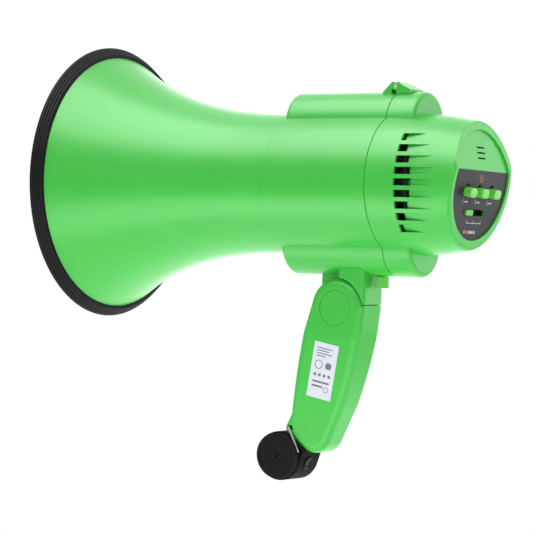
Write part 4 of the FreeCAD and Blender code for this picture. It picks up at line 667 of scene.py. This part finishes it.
# %% [markdown]
# ## The control panel's own directions
#
# The rear face slopes forward below its ridge. What sits on it is modelled lying flat, with X
# across, Y up the panel and Z out of it, and this matrix then sets it in its place.

# %% Panel placement
RIDGE = (121.5, 0.0, 157.0)
SLANT = math.radians(10.5)
LABEL_SINK = 1.2
panel_out = Vector((math.cos(SLANT), 0, -math.sin(SLANT)))
panel_up = Vector((math.sin(SLANT), 0, math.cos(SLANT)))


def on_panel(across, drop, lift=0.0):
    """Matrix for a place on the label: across and drop are measured from the middle of the ridge."""
    origin = mm(*RIDGE) - panel_up * drop / 1000 + panel_out * (lift - LABEL_SINK) / 1000
    origin.y = across / 1000
    return matrix_of((Vector((0, 1, 0)), panel_up, panel_out, origin))


print("panel leans by", round(math.degrees(SLANT), 1), "degrees")

# %% [markdown]
# ## Three slide knobs
#
# Each knob is a short bar of yellow-green plastic with a capsule-shaped end: nearly round on
# its left and right, and slightly domed. A cube becomes that with a wide bevel on its four
# long edges. The middle of its end is inset and lifted three times, and a small bevel then
# goes round the end. The thin stem behind it, which runs into the slot, is extruded from the
# back. Its faces get a second material, the black inner plastic, which makes the slot round the
# knob dark. One knob is modelled, and the others are copies with meshes of their own.

# %% Switch knobs
KNOB = (10.0, 6.8, 6.0)
KNOB_DROP = 16.6
KNOB_PITCH = 18.2
KNOB_BACK = -0.22
KNOB_CORNER, KNOB_EDGE = 0.00305, 0.00055
STEM_INSET, STEM_DEPTH = 0.0021, 5.6
CROWN = ((0.0007, 0.00014), (0.0008, 0.00008), (0.0009, 0.00004))


def model_knob(name):
    """One slide knob, lying flat with its back at zero height."""
    knob = begin(name, bpy.ops.mesh.primitive_cube_add, size=0.001, location=mm(0, 0, 0.5))
    bpy.ops.transform.resize(value=KNOB, center_override=(0, 0, 0))
    half = KNOB[2] / 2000
    pick(knob, "EDGE", lambda middle, run: abs(run.z) > half)
    bpy.ops.mesh.bevel(offset=KNOB_CORNER, segments=8, profile=0.5)
    pick(knob, "FACE", lambda middle, normal: normal.z > 0.9)
    for inset, lift in CROWN:
        bpy.ops.mesh.inset(thickness=inset)
        bpy.ops.transform.translate(value=(0, 0, lift))
    top = KNOB[2] / 1000
    pick(knob, "EDGE", lambda middle, run: abs(middle.z - top) < 1e-6 and abs(run.z) < 1e-7)
    bpy.ops.mesh.bevel(offset=KNOB_EDGE, segments=4, profile=0.5)
    pick(knob, "FACE", lambda middle, normal: normal.z < -0.9)
    bpy.ops.mesh.inset(thickness=STEM_INSET)
    bpy.ops.mesh.extrude_region_move(TRANSFORM_OT_translate={"value": mm(0, 0, -STEM_DEPTH)})
    seal()
    bpy.ops.object.mode_set(mode="OBJECT")
    return knob


first_knob = model_knob("slide_knob_1")
stem_faces = [face.index for face in first_knob.data.polygons if face.center.z < -1e-5]
knobs = [first_knob] + [copy_piece(first_knob, f"slide_knob_{number}") for number in (2, 3)]
for number, knob in enumerate(knobs, start=1):
    place_piece(knob, on_panel(KNOB_PITCH * (number - 2), KNOB_DROP, KNOB_BACK))
    hand_over(knob, knob_green, "knob_plastic", f"switch_{number}", f"switch_knob_{number}")
    knob.data.materials.append(inner_plastic)
    for index in stem_faces:
        knob.data.polygons[index].material_index = 1

# %% [markdown]
# ## The mode slider
#
# The low slider is thumbed from side to side, so its face has grooves across the travel. A
# flat block is bisected in pairs of lines, and the strips between them are pushed in. Its
# stem is extruded from the back.

# %% Mode slider
MODE_DROP = 31.6
MODE_ACROSS = -10.6
MODE_BACK = -3.0
MODE_STEM = 3.4
SLIDER = (9.4, 4.0, 4.5)
GROOVES = (-2.4, 0.0, 2.4)
GROOVE_HALF, GROOVE_DEPTH = 0.35, 0.45

slider = begin("mode_slider", bpy.ops.mesh.primitive_cube_add, size=0.001, location=mm(0, 0, 0.5))
bpy.ops.transform.resize(value=SLIDER, center_override=(0, 0, 0))
pick(slider, "EDGE", lambda middle, run: abs(run.z) > 0.002)
bpy.ops.mesh.bevel(offset=0.0011, segments=5, profile=0.5)


def is_groove(middle, normal):
    """Tells the strips between the pairs of lines, on the slider's face."""
    return normal.z > 0.9 and min(abs(middle.x * 1000 - groove) for groove in GROOVES) < GROOVE_HALF


for groove in GROOVES:
    for side in (-GROOVE_HALF, GROOVE_HALF):
        bpy.ops.mesh.select_all(action="SELECT")
        bpy.ops.mesh.bisect(plane_co=mm(groove + side, 0, 0), plane_no=(1, 0, 0))
pick(slider, "FACE", is_groove)
bpy.ops.mesh.extrude_region_move(TRANSFORM_OT_translate={"value": mm(0, 0, -GROOVE_DEPTH)})
pick(slider, "FACE", lambda middle, normal: normal.z < -0.9 and abs(middle.x) < 0.003)
bpy.ops.mesh.extrude_region_move(TRANSFORM_OT_translate={"value": mm(0, 0, -MODE_STEM)})
seal()
place_piece(slider, on_panel(MODE_ACROSS, MODE_DROP, MODE_BACK))
hand_over(slider, knob_green, "knob_plastic", "mode", "mode_knob", angle=30)

# %% [markdown]
# ## Print on the panel
#
# The panel's film is printed. Ink has a thickness, so every mark here is a thin solid that
# lies on the film: a numeral and a bar under each knob, a bracket with three ticks for the
# three places of the mode slider, a ring with a short bar in it, and a row of five squares.
# Numerals are text objects in Blender's own font, turned into a mesh by convert. A bar is a
# cube, flattened, with bevelled corners. A ring is a spun profile. All marks of one ink are
# joined into one piece.

# %% Print helpers
INK = 0.04


def print_bar(sides, place):
    """A printed bar with rounded corners, laid flat at a place."""
    bar = begin("bar", bpy.ops.mesh.primitive_cube_add, size=0.001, location=mm(0, 0, 0.5))
    bpy.ops.transform.resize(value=(*sides, INK), center_override=(0, 0, 0))
    pick(bar, "EDGE", lambda middle, run: abs(run.z) > 1e-5)
    bpy.ops.mesh.bevel(offset=min(sides) * 0.0003, segments=3, profile=0.5)
    seal()
    place_piece(bar, place)
    return bar


def print_ring(radius, width, place):
    """A printed ring."""
    corners = [(-0.5, 0), (0.5, 0), (0.5, 1), (-0.5, 1), (-0.5, 0)]
    points = [mm(radius + width * x, 0, INK * z) for x, z in corners]
    ring = turn_profile("ring", points, (0, 0, 0), (0, 0, 1), 48)
    place_piece(ring, place)
    return ring


def print_numeral(text, size, place):
    """A printed numeral, centred on its place."""
    bpy.ops.object.select_all(action="DESELECT")
    bpy.ops.object.text_add()
    numeral = bpy.context.object
    numeral.data.body = text
    numeral.data.size = size / 1000
    numeral.data.align_x, numeral.data.align_y = "CENTER", "CENTER"
    numeral.data.extrude = INK / 2000
    numeral.data.resolution_u = 4
    bpy.ops.object.convert(target="MESH")
    bpy.ops.object.mode_set(mode="EDIT")
    seal()
    place_piece(numeral, place @ Matrix.Translation(mm(0, 0, INK / 2)))
    return numeral


print("print helpers are ready")

# %% Panel print
RING_DROP, NUMERAL_DROP, BRACKET_DROP, ROW_DROP = 6.6, 24.0, 39.2, 45.8
marks = []
for number in (1, 2, 3):
    across = KNOB_PITCH * (number - 2)
    marks.append(print_numeral(str(number), 3.9, on_panel(across - 3.0, NUMERAL_DROP)))
    marks.append(print_bar((4.6, 1.0), on_panel(across + 1.4, NUMERAL_DROP)))
marks.append(print_bar((21.8, 0.5), on_panel(0, BRACKET_DROP)))
for across in (-10.6, 0.0, 10.6):
    marks.append(print_bar((0.55, 1.7), on_panel(across, BRACKET_DROP - 0.9)))
for across in (-3.6, 0.0, 3.6):
    marks.append(print_bar((2.6, 2.3), on_panel(across, ROW_DROP)))
hand_over(join("panel_print", marks), label_ink, "label_film", "cover", angle=30)
accents = [print_ring(2.3, 0.6, on_panel(0, RING_DROP)), print_bar((3.0, 0.5), on_panel(0, RING_DROP))]
for across in (-11.2, -7.9):
    accents.append(print_bar((2.5, 2.5), on_panel(across, ROW_DROP)))
hand_over(join("panel_accents", accents), accent_ink, "label_film", "cover", angle=30)

# %% [markdown]
# ## Print on the sticker
#
# The sticker on the grip is printed in grey: four fine lines, two rings, five squares and two
# broader bars. Its plane leans with the side of the grip, so it is measured from the sticker's
# own outer face.

# %% Sticker print
RAKE = math.radians(10.5)
sticker = nodes["handle_label"].data
outer = [face for face in sticker.polygons if face.normal.y < -0.9]
area = sum(face.area for face in outer)
middle = sum((face.center * face.area for face in outer), Vector()) / area
sticker_out = sum((face.normal * face.area for face in outer), Vector()).normalized()
sticker_up = Vector((math.sin(RAKE), 0, math.cos(RAKE)))
sticker_up = (sticker_up - sticker_out * sticker_up.dot(sticker_out)).normalized()
sticker_place = matrix_of((sticker_up.cross(sticker_out), sticker_up, sticker_out, middle))


def on_sticker(across, rise):
    """Matrix for a place on the sticker, measured from its middle."""
    return sticker_place @ Matrix.Translation(mm(across, rise, 0))


LEFT_EDGE = -7.4
FINE_LINES = ((16.6, 13.0), (14.6, 10.5), (12.6, 13.5), (10.6, 8.0))
BROAD_LINES = ((-8.6, 14.6), (-12.0, 9.5))


def print_lines(lines, height):
    """Bars that start at the sticker's left margin, from pairs of rise and length."""
    return [print_bar((length, height), on_sticker(length / 2 + LEFT_EDGE, rise)) for rise, length in lines]


marks = print_lines(FINE_LINES, 0.75)
marks.append(print_ring(3.1, 0.6, on_sticker(-4.2, 4.2)))
marks.append(print_bar((5.0, 5.0), on_sticker(4.2, 4.2)))
marks += [print_bar((2.3, 2.3), on_sticker(across, -3.4)) for across in (-6.2, -2.1, 2.0, 6.1)]
marks += print_lines(BROAD_LINES, 1.5)
marks.append(print_ring(1.9, 0.5, on_sticker(5.0, -13.6)))
hand_over(join("sticker_print", marks), sticker_ink, "sticker_film", "handle", angle=30)

# %% [markdown]
# ## The volume knob
#
# Under the barrel sits a small fluted knob. A cylinder's wall is divided into narrow faces,
# and every second one is pushed inwards as a flute. The underside gets a shallow dish, and
# the shaft is extruded from the top.

# %% Volume knob
VOLUME_RADIUS, VOLUME_HEIGHT = 0.005, 0.0082
FLUTES = 20
FLUTE_STEP = math.pi / FLUTES
FLUTE_MARGIN, FLUTE_SCALE = 0.00014, 0.93
RIM_WIDTH = 0.0007
DISH_MARGIN, DISH_DEPTH = 0.0006, 0.0004
SHAFT_MARGIN, SHAFT = 0.0013, 2.6

volume = begin(
    "fluted_volume_knob", bpy.ops.mesh.primitive_cylinder_add, vertices=2 * FLUTES,
    radius=VOLUME_RADIUS, depth=VOLUME_HEIGHT, location=(0, 0, VOLUME_HEIGHT / 2),
)
pick(volume, "FACE", lambda middle, normal: abs(normal.z) > 0.9)
bpy.ops.mesh.inset(thickness=RIM_WIDTH)


def is_flute(middle, normal):
    """Tells every second face of the wall."""
    return abs(normal.z) < 0.1 and round(math.atan2(middle.y, middle.x) / FLUTE_STEP - 0.5) % 2 == 0


pick(volume, "FACE", is_flute)
bpy.ops.mesh.inset(thickness=FLUTE_MARGIN, use_individual=True)
bpy.ops.transform.resize(value=(FLUTE_SCALE, FLUTE_SCALE, 1.0), center_override=(0, 0, VOLUME_HEIGHT / 2))
pick(volume, "FACE", lambda middle, normal: normal.z < -0.9 and middle.xy.length < 0.002)
bpy.ops.mesh.inset(thickness=DISH_MARGIN)
bpy.ops.transform.translate(value=(0, 0, DISH_DEPTH))
pick(volume, "FACE", lambda middle, normal: normal.z > 0.9 and middle.xy.length < 0.002)
bpy.ops.mesh.inset(thickness=SHAFT_MARGIN)
bpy.ops.mesh.extrude_region_move(TRANSFORM_OT_translate={"value": mm(0, 0, SHAFT)})
seal()
low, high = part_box("volume_knob")
place_piece(volume, Matrix.Translation(((low.x + high.x) / 2, 0, low.z)))
hand_over(volume, knob_green, "knob_plastic", "volume", "volume_knob", angle=30)

# %% [markdown]
# ## The screws of the grip
#
# Three screws close the grip from its right side, deep in round holes. Each head is a low
# dome with a cross cut into it. The middle of the head is a grid, and the faces of the grid
# that lie on the cross are pushed down. Its square outline is then rounded to a circle and
# extruded backwards, first as the head and then, narrower, as the shank.

# %% Grip screws
HEAD_RADIUS = 2.8
SCREW_HEAD = 11.0
SAME_SCREW = 0.006
GRID = 0.0036
CROSS_HALF, CROSS_REACH, CROSS_DEPTH = 0.0003, 0.00175, 1.0
OUTLINE = GRID / 2 - 0.00001
ROUNDED_RADIUS = 2.05
DOME = 0.35
SHANK_STEPS = ((-0.9, 1.0), (-0.75, 1.0), (0.0, 0.5), (-17.0, 1.0), (0.0, 0.4))

screw_node = nodes["handle_screws"]
head_points = [v.co.xz for v in screw_node.data.vertices if v.co.y > (SCREW_HEAD - 0.05) / 1000]
clusters = []
for point in head_points:
    for known in clusters:
        if (sum(known, Vector((0, 0))) / len(known) - point).length < SAME_SCREW:
            known.append(point)
            break
    else:
        clusters.append([point])
screw_places = []
for cluster in clusters:
    low = Vector((min(p.x for p in cluster), min(p.y for p in cluster)))
    high = Vector((max(p.x for p in cluster), max(p.y for p in cluster)))
    screw_places.append((low + high) / 2)


def on_cross(middle, normal):
    """Tells the grid's faces that the cross takes up."""
    return min(abs(middle.x), abs(middle.y)) < CROSS_HALF and middle.xy.length < CROSS_REACH


screw = begin(
    "grip_screw", bpy.ops.mesh.primitive_grid_add, x_subdivisions=10, y_subdivisions=10, size=GRID,
)
pick(screw, "FACE", on_cross)
bpy.ops.mesh.extrude_region_move(TRANSFORM_OT_translate={"value": mm(0, 0, -CROSS_DEPTH)})
pick(screw, "EDGE", lambda middle, run: max(abs(middle.x), abs(middle.y)) > OUTLINE and middle.z > -0.0001)
bpy.ops.mesh.extrude_region_move(TRANSFORM_OT_translate={"value": (0, 0, 0)})
bpy.ops.transform.tosphere(value=1.0)
bpy.ops.transform.resize(value=(HEAD_RADIUS / ROUNDED_RADIUS, HEAD_RADIUS / ROUNDED_RADIUS, 1))
bpy.ops.transform.translate(value=mm(0, 0, -DOME))
for drop, scale in SHANK_STEPS:
    bpy.ops.mesh.extrude_region_move(TRANSFORM_OT_translate={"value": mm(0, 0, drop)})
    bpy.ops.transform.resize(value=(scale, scale, 1))
bpy.ops.mesh.edge_face_add()
seal()
bpy.ops.object.mode_set(mode="OBJECT")
copies = []
to_the_right = Matrix.Rotation(-math.pi / 2, 4, "X")
for place in screw_places:
    copy = copy_piece(screw, "grip_screw_copy")
    copy.matrix_world = Matrix.Translation((place.x, SCREW_HEAD / 1000, place.y)) @ to_the_right
    copies.append(copy)
bpy.data.objects.remove(screw)
grip_screws = join("grip_cross_screws", copies)
hand_over(grip_screws, plated_steel, "steel", "handle", "handle_screws")

# %% [markdown]
# ## The wrist strap
#
# The strap is nylon webbing, 26 mm wide. It leaves the roll, passes round the lower wire of
# the ring, comes back, and its end lies on the roll. Seen from its side that is one line: a
# spiral whose radius grows by a little more than the webbing's thickness per turn, so that
# hardly any light passes between the turns, with a detour round the wire. The inner turns
# creep a little to and fro, and the outermost one slides to the right, as on a strap rolled by
# hand. Near the core the points keep one distance, so that they don't crowd. Where the webbing
# leaves the roll for the wire depends on the roll's radius there, and the other way round, so
# those two angles are found in a few rounds. The line's points are worked out here, a row of
# edges is extruded along it, and Solidify gives it its thickness.

# %% Path of the webbing
ROLL_MIDDLE = Vector((-37.4, -57.4))
WIRE = Vector((-19.95, -53.37))
BEND_RADIUS = 2.6
THICKNESS = 1.39
PITCH = 1.42
LAST_ANGLE = math.radians(-132)
LAST_RADIUS = 18.2
CORE_RADIUS = 1.15
INNER_SHIFT, OUTER_SHIFT = -3.5, 1.0
SLIDE_START, SLIDE_SPAN = math.radians(165), math.radians(95)
CREEP, CREEP_RATE, CREEP_ONSET = 0.35, 1.7, 3.0
STEP = math.radians(7.5)
LONG_STEPS_INSIDE = 6.0
LEG_SHARES = (0.0, 0.35, 0.7)
BEND_STEPS = 12


def roll_radius(angle):
    """Radius of the webbing's middle layer. Angles fall as the strap is wound on."""
    return LAST_RADIUS - PITCH * (angle - LAST_ANGLE) / (2 * math.pi)


def on_circle(centre, radius, angle):
    """A point on a circle, in the plane of the roll."""
    return centre + radius * Vector((math.cos(angle), math.sin(angle)))


run = WIRE - ROLL_MIDDLE
towards = math.atan2(run.y, run.x)
leave, rejoin = towards + 0.6, towards - 0.6
for _ in range(6):
    leave = towards + math.acos((roll_radius(leave) - BEND_RADIUS) / run.length)
    rejoin = towards - math.acos((roll_radius(rejoin) - BEND_RADIUS) / run.length)
first_angle = LAST_ANGLE + 2 * math.pi * (LAST_RADIUS - CORE_RADIUS) / PITCH


def shift_at(angle):
    """Sideways place of the webbing's middle."""
    share = min(max((SLIDE_START - angle) / SLIDE_SPAN, 0), 1)
    share = share * share * (3 - 2 * share)
    creep = CREEP * math.sin(CREEP_RATE * angle) * min(1, max(0, angle - leave) / CREEP_ONSET)
    return INNER_SHIFT + (OUTER_SHIFT - INNER_SHIFT) * share + creep


strap_line = []
angle = first_angle
while angle > leave:
    strap_line.append((*on_circle(ROLL_MIDDLE, roll_radius(angle), angle), shift_at(angle)))
    angle -= STEP * max(1.0, LONG_STEPS_INSIDE / roll_radius(angle))
tangents = [
    (on_circle(ROLL_MIDDLE, roll_radius(angle), angle), on_circle(WIRE, BEND_RADIUS, angle))
    for angle in (leave, rejoin)
]
for share in LEG_SHARES:
    strap_line.append((*tangents[0][0].lerp(tangents[0][1], share), OUTER_SHIFT))
for index in range(BEND_STEPS + 1):
    angle = leave + (rejoin - leave) * index / BEND_STEPS
    strap_line.append((*on_circle(WIRE, BEND_RADIUS, angle), OUTER_SHIFT))
for share in reversed(LEG_SHARES):
    strap_line.append((*tangents[1][0].lerp(tangents[1][1], share), OUTER_SHIFT))
angle = rejoin - STEP
while angle > LAST_ANGLE:
    strap_line.append((*on_circle(ROLL_MIDDLE, roll_radius(angle), angle), OUTER_SHIFT))
    angle -= STEP
lengths = [0.0]
for here, there in zip(strap_line, strap_line[1:]):
    lengths.append(lengths[-1] + (Vector(there[:2]) - Vector(here[:2])).length)
print(len(strap_line), "points, webbing", round(lengths[-1]), "mm long")

# %% [markdown]
# The row of edges has 14 divisions, so the faces of the outer turns are about as wide as they
# are long. Their UV map is in metres: U across the webbing and V along it. The weave is drawn
# on that map, so it follows every turn at its true size.

# %% Webbing
WIDTH = 26.0
ACROSS = 14
strap_line = [Vector((x, shift, z)) for x, z, shift in strap_line]
start_point = strap_line[0] - Vector((0, WIDTH / 2, 0))
first_row = [(start_point + Vector((0, WIDTH * i / ACROSS, 0))) / 1000 for i in range(ACROSS + 1)]
strap = draw_line("wrist_webbing", first_row)
bpy.ops.mesh.select_all(action="SELECT")
for here, there in zip(strap_line, strap_line[1:]):
    bpy.ops.mesh.extrude_region_move(TRANSFORM_OT_translate={"value": (there - here) / 1000})
bpy.ops.object.mode_set(mode="OBJECT")
tree = kdtree.KDTree(len(strap_line))
for index, point in enumerate(strap_line):
    tree.insert((point.x, 0, point.z), index)
tree.balance()
uv = strap.data.uv_layers.new(name="webbing")
for loop in strap.data.loops:
    co = strap.data.vertices[loop.vertex_index].co * 1000
    index = tree.find((co.x, 0, co.z))[1]
    uv.data[loop.index].uv = ((co.y - strap_line[index].y) / 1000, lengths[index] / 1000)
modify(strap, "SOLIDIFY", thickness=THICKNESS / 1000, offset=0.0, use_even_offset=True)
modify(strap, "BEVEL", width=0.00035, segments=2, limit_method="ANGLE", angle_limit=math.radians(50))
print(len(strap.data.polygons), "faces")

# %% [markdown]
# Heavy webbing is woven in a staggered pattern: each thread shows as a short bump, and the
# next column is half a thread lower. The group puts out the height of the threads and a tone
# that is darker in the gaps between them: painted shade, for the shade that falls between
# the threads.

# %% Group: woven threads
weave, start, end = new_group(
    "woven_threads",
    [("Vector", "Vector", None), ("Column", "Float", 0.0011), ("Thread", "Float", 0.0009)],
    [("Height", "Float"), ("Shaded Tone", "Float")],
)
sides = add_node(weave, "SeparateXYZ", {0: start.outputs["Vector"]})
column = math_node(weave, "DIVIDE", sides.outputs["X"], start.outputs["Column"])
row = math_node(weave, "DIVIDE", sides.outputs["Y"], start.outputs["Thread"])
stagger = math_node(weave, "MULTIPLY", math_node(weave, "FLOOR", column), 0.5)
ridge = math_node(weave, "SINE", math_node(weave, "MULTIPLY", math_node(weave, "ADD", row, stagger), math.pi))
bow = math_node(weave, "SINE", math_node(weave, "MULTIPLY", column, math.pi))
bump = math_node(weave, "MULTIPLY", math_node(weave, "ABSOLUTE", ridge), math_node(weave, "ABSOLUTE", bow))
bump = math_node(weave, "POWER", bump, 0.5)
weave.links.new(bump, end.inputs["Height"])
# The tone falls to 0.35 in the gaps between threads: painted shade.
weave.links.new(between(weave, bump, 0.35, 1.0), end.inputs["Shaded Tone"])
print(weave.name, len(weave.nodes), "nodes")

# %% Webbing finish
webbing = bpy.data.materials.new("black_webbing")
webbing.use_nodes = True
tree = webbing.node_tree
shader = tree.nodes["Principled BSDF"]
flat = add_node(tree, "UVMap", uv_map="webbing").outputs["UV"]
threads = place_group(tree, weave)
tree.links.new(flat, threads.inputs["Vector"])
place = add_node(tree, "TexCoord").outputs["Object"]
fuzz = add_node(tree, "TexNoise", {"Vector": place, "Scale": 2600.0, "Detail": 3.0}).outputs[0]
hands = place_group(tree, handling, Patch_Scale=120.0)
# The thread tone carries the painted shade in the gaps between threads, and the fuzz varies it at random.
tone = math_node(tree, "MULTIPLY", threads.outputs["Shaded Tone"], between(tree, fuzz, 0.6, 1.4))
colour = mixed(tree, tone, (0.003, 0.003, 0.0033, 1), (0.015, 0.015, 0.0155, 1))
soiled = math_node(tree, "MULTIPLY", hands.outputs["Patches"], 0.35)
colour = mixed(tree, soiled, colour, (0.004, 0.004, 0.0045, 1))
tree.links.new(colour, shader.inputs["Base Color"])
tree.links.new(between(tree, fuzz, 0.75, 0.95), shader.inputs["Roughness"])
relief = math_node(tree, "MULTIPLY_ADD", fuzz, 0.35, threads.outputs["Height"])
bumped = add_node(tree, "Bump", {"Strength": 1.0, "Distance": 0.0002, "Height": relief})
tree.links.new(bumped.outputs[0], shader.inputs["Normal"])
shader.inputs["Sheen Weight"].default_value = 0.02
shader.inputs["Sheen Roughness"].default_value = 0.5
shader.inputs["Specular IOR Level"].default_value = 0.08
hand_over(strap, webbing, "webbing", "strap", "wrist_strap", angle=50)

# %% [markdown]
# ## The press stud
#
# The cap of the stud is stamped from sheet: a rolled rim round a shallow dish. It is turned
# round its own axis and then set on the leg of webbing that comes back from the wire, square
# to it and a little left of its middle.

# %% Press stud
STUD_ALONG, STUD_LEFT = 1.0, 2.0

across_leg = (tangents[1][1] - tangents[1][0]).normalized()
leg_out = Vector((-across_leg.y, 0, across_leg.x)) * -1
seat = tangents[1][0] + across_leg * STUD_ALONG
seat = Vector((seat.x, OUTER_SHIFT - STUD_LEFT, seat.y)) + leg_out * (THICKNESS / 2)
stud_profile = [
    (0.0, 0.55), (2.3, 0.6), (3.3, 0.75), (3.7, 1.15), (4.05, 1.45), (4.5, 1.5), (4.85, 1.2),
    (5.0, 0.7), (4.9, 0.2), (4.7, -0.3), (0.0, -0.3),
]
points = [Vector((radius, 0, height)) / 1000 for radius, height in stud_profile]
stud = turn_profile("press_stud", points, (0, 0, 0), (0, 0, 1), 48)
place_piece(stud, Matrix.Translation(seat / 1000) @ leg_out.to_track_quat("Z", "Y").to_matrix().to_4x4())
hand_over(stud, stud_enamel, "stud_metal", "strap", "strap_snap", angle=40)
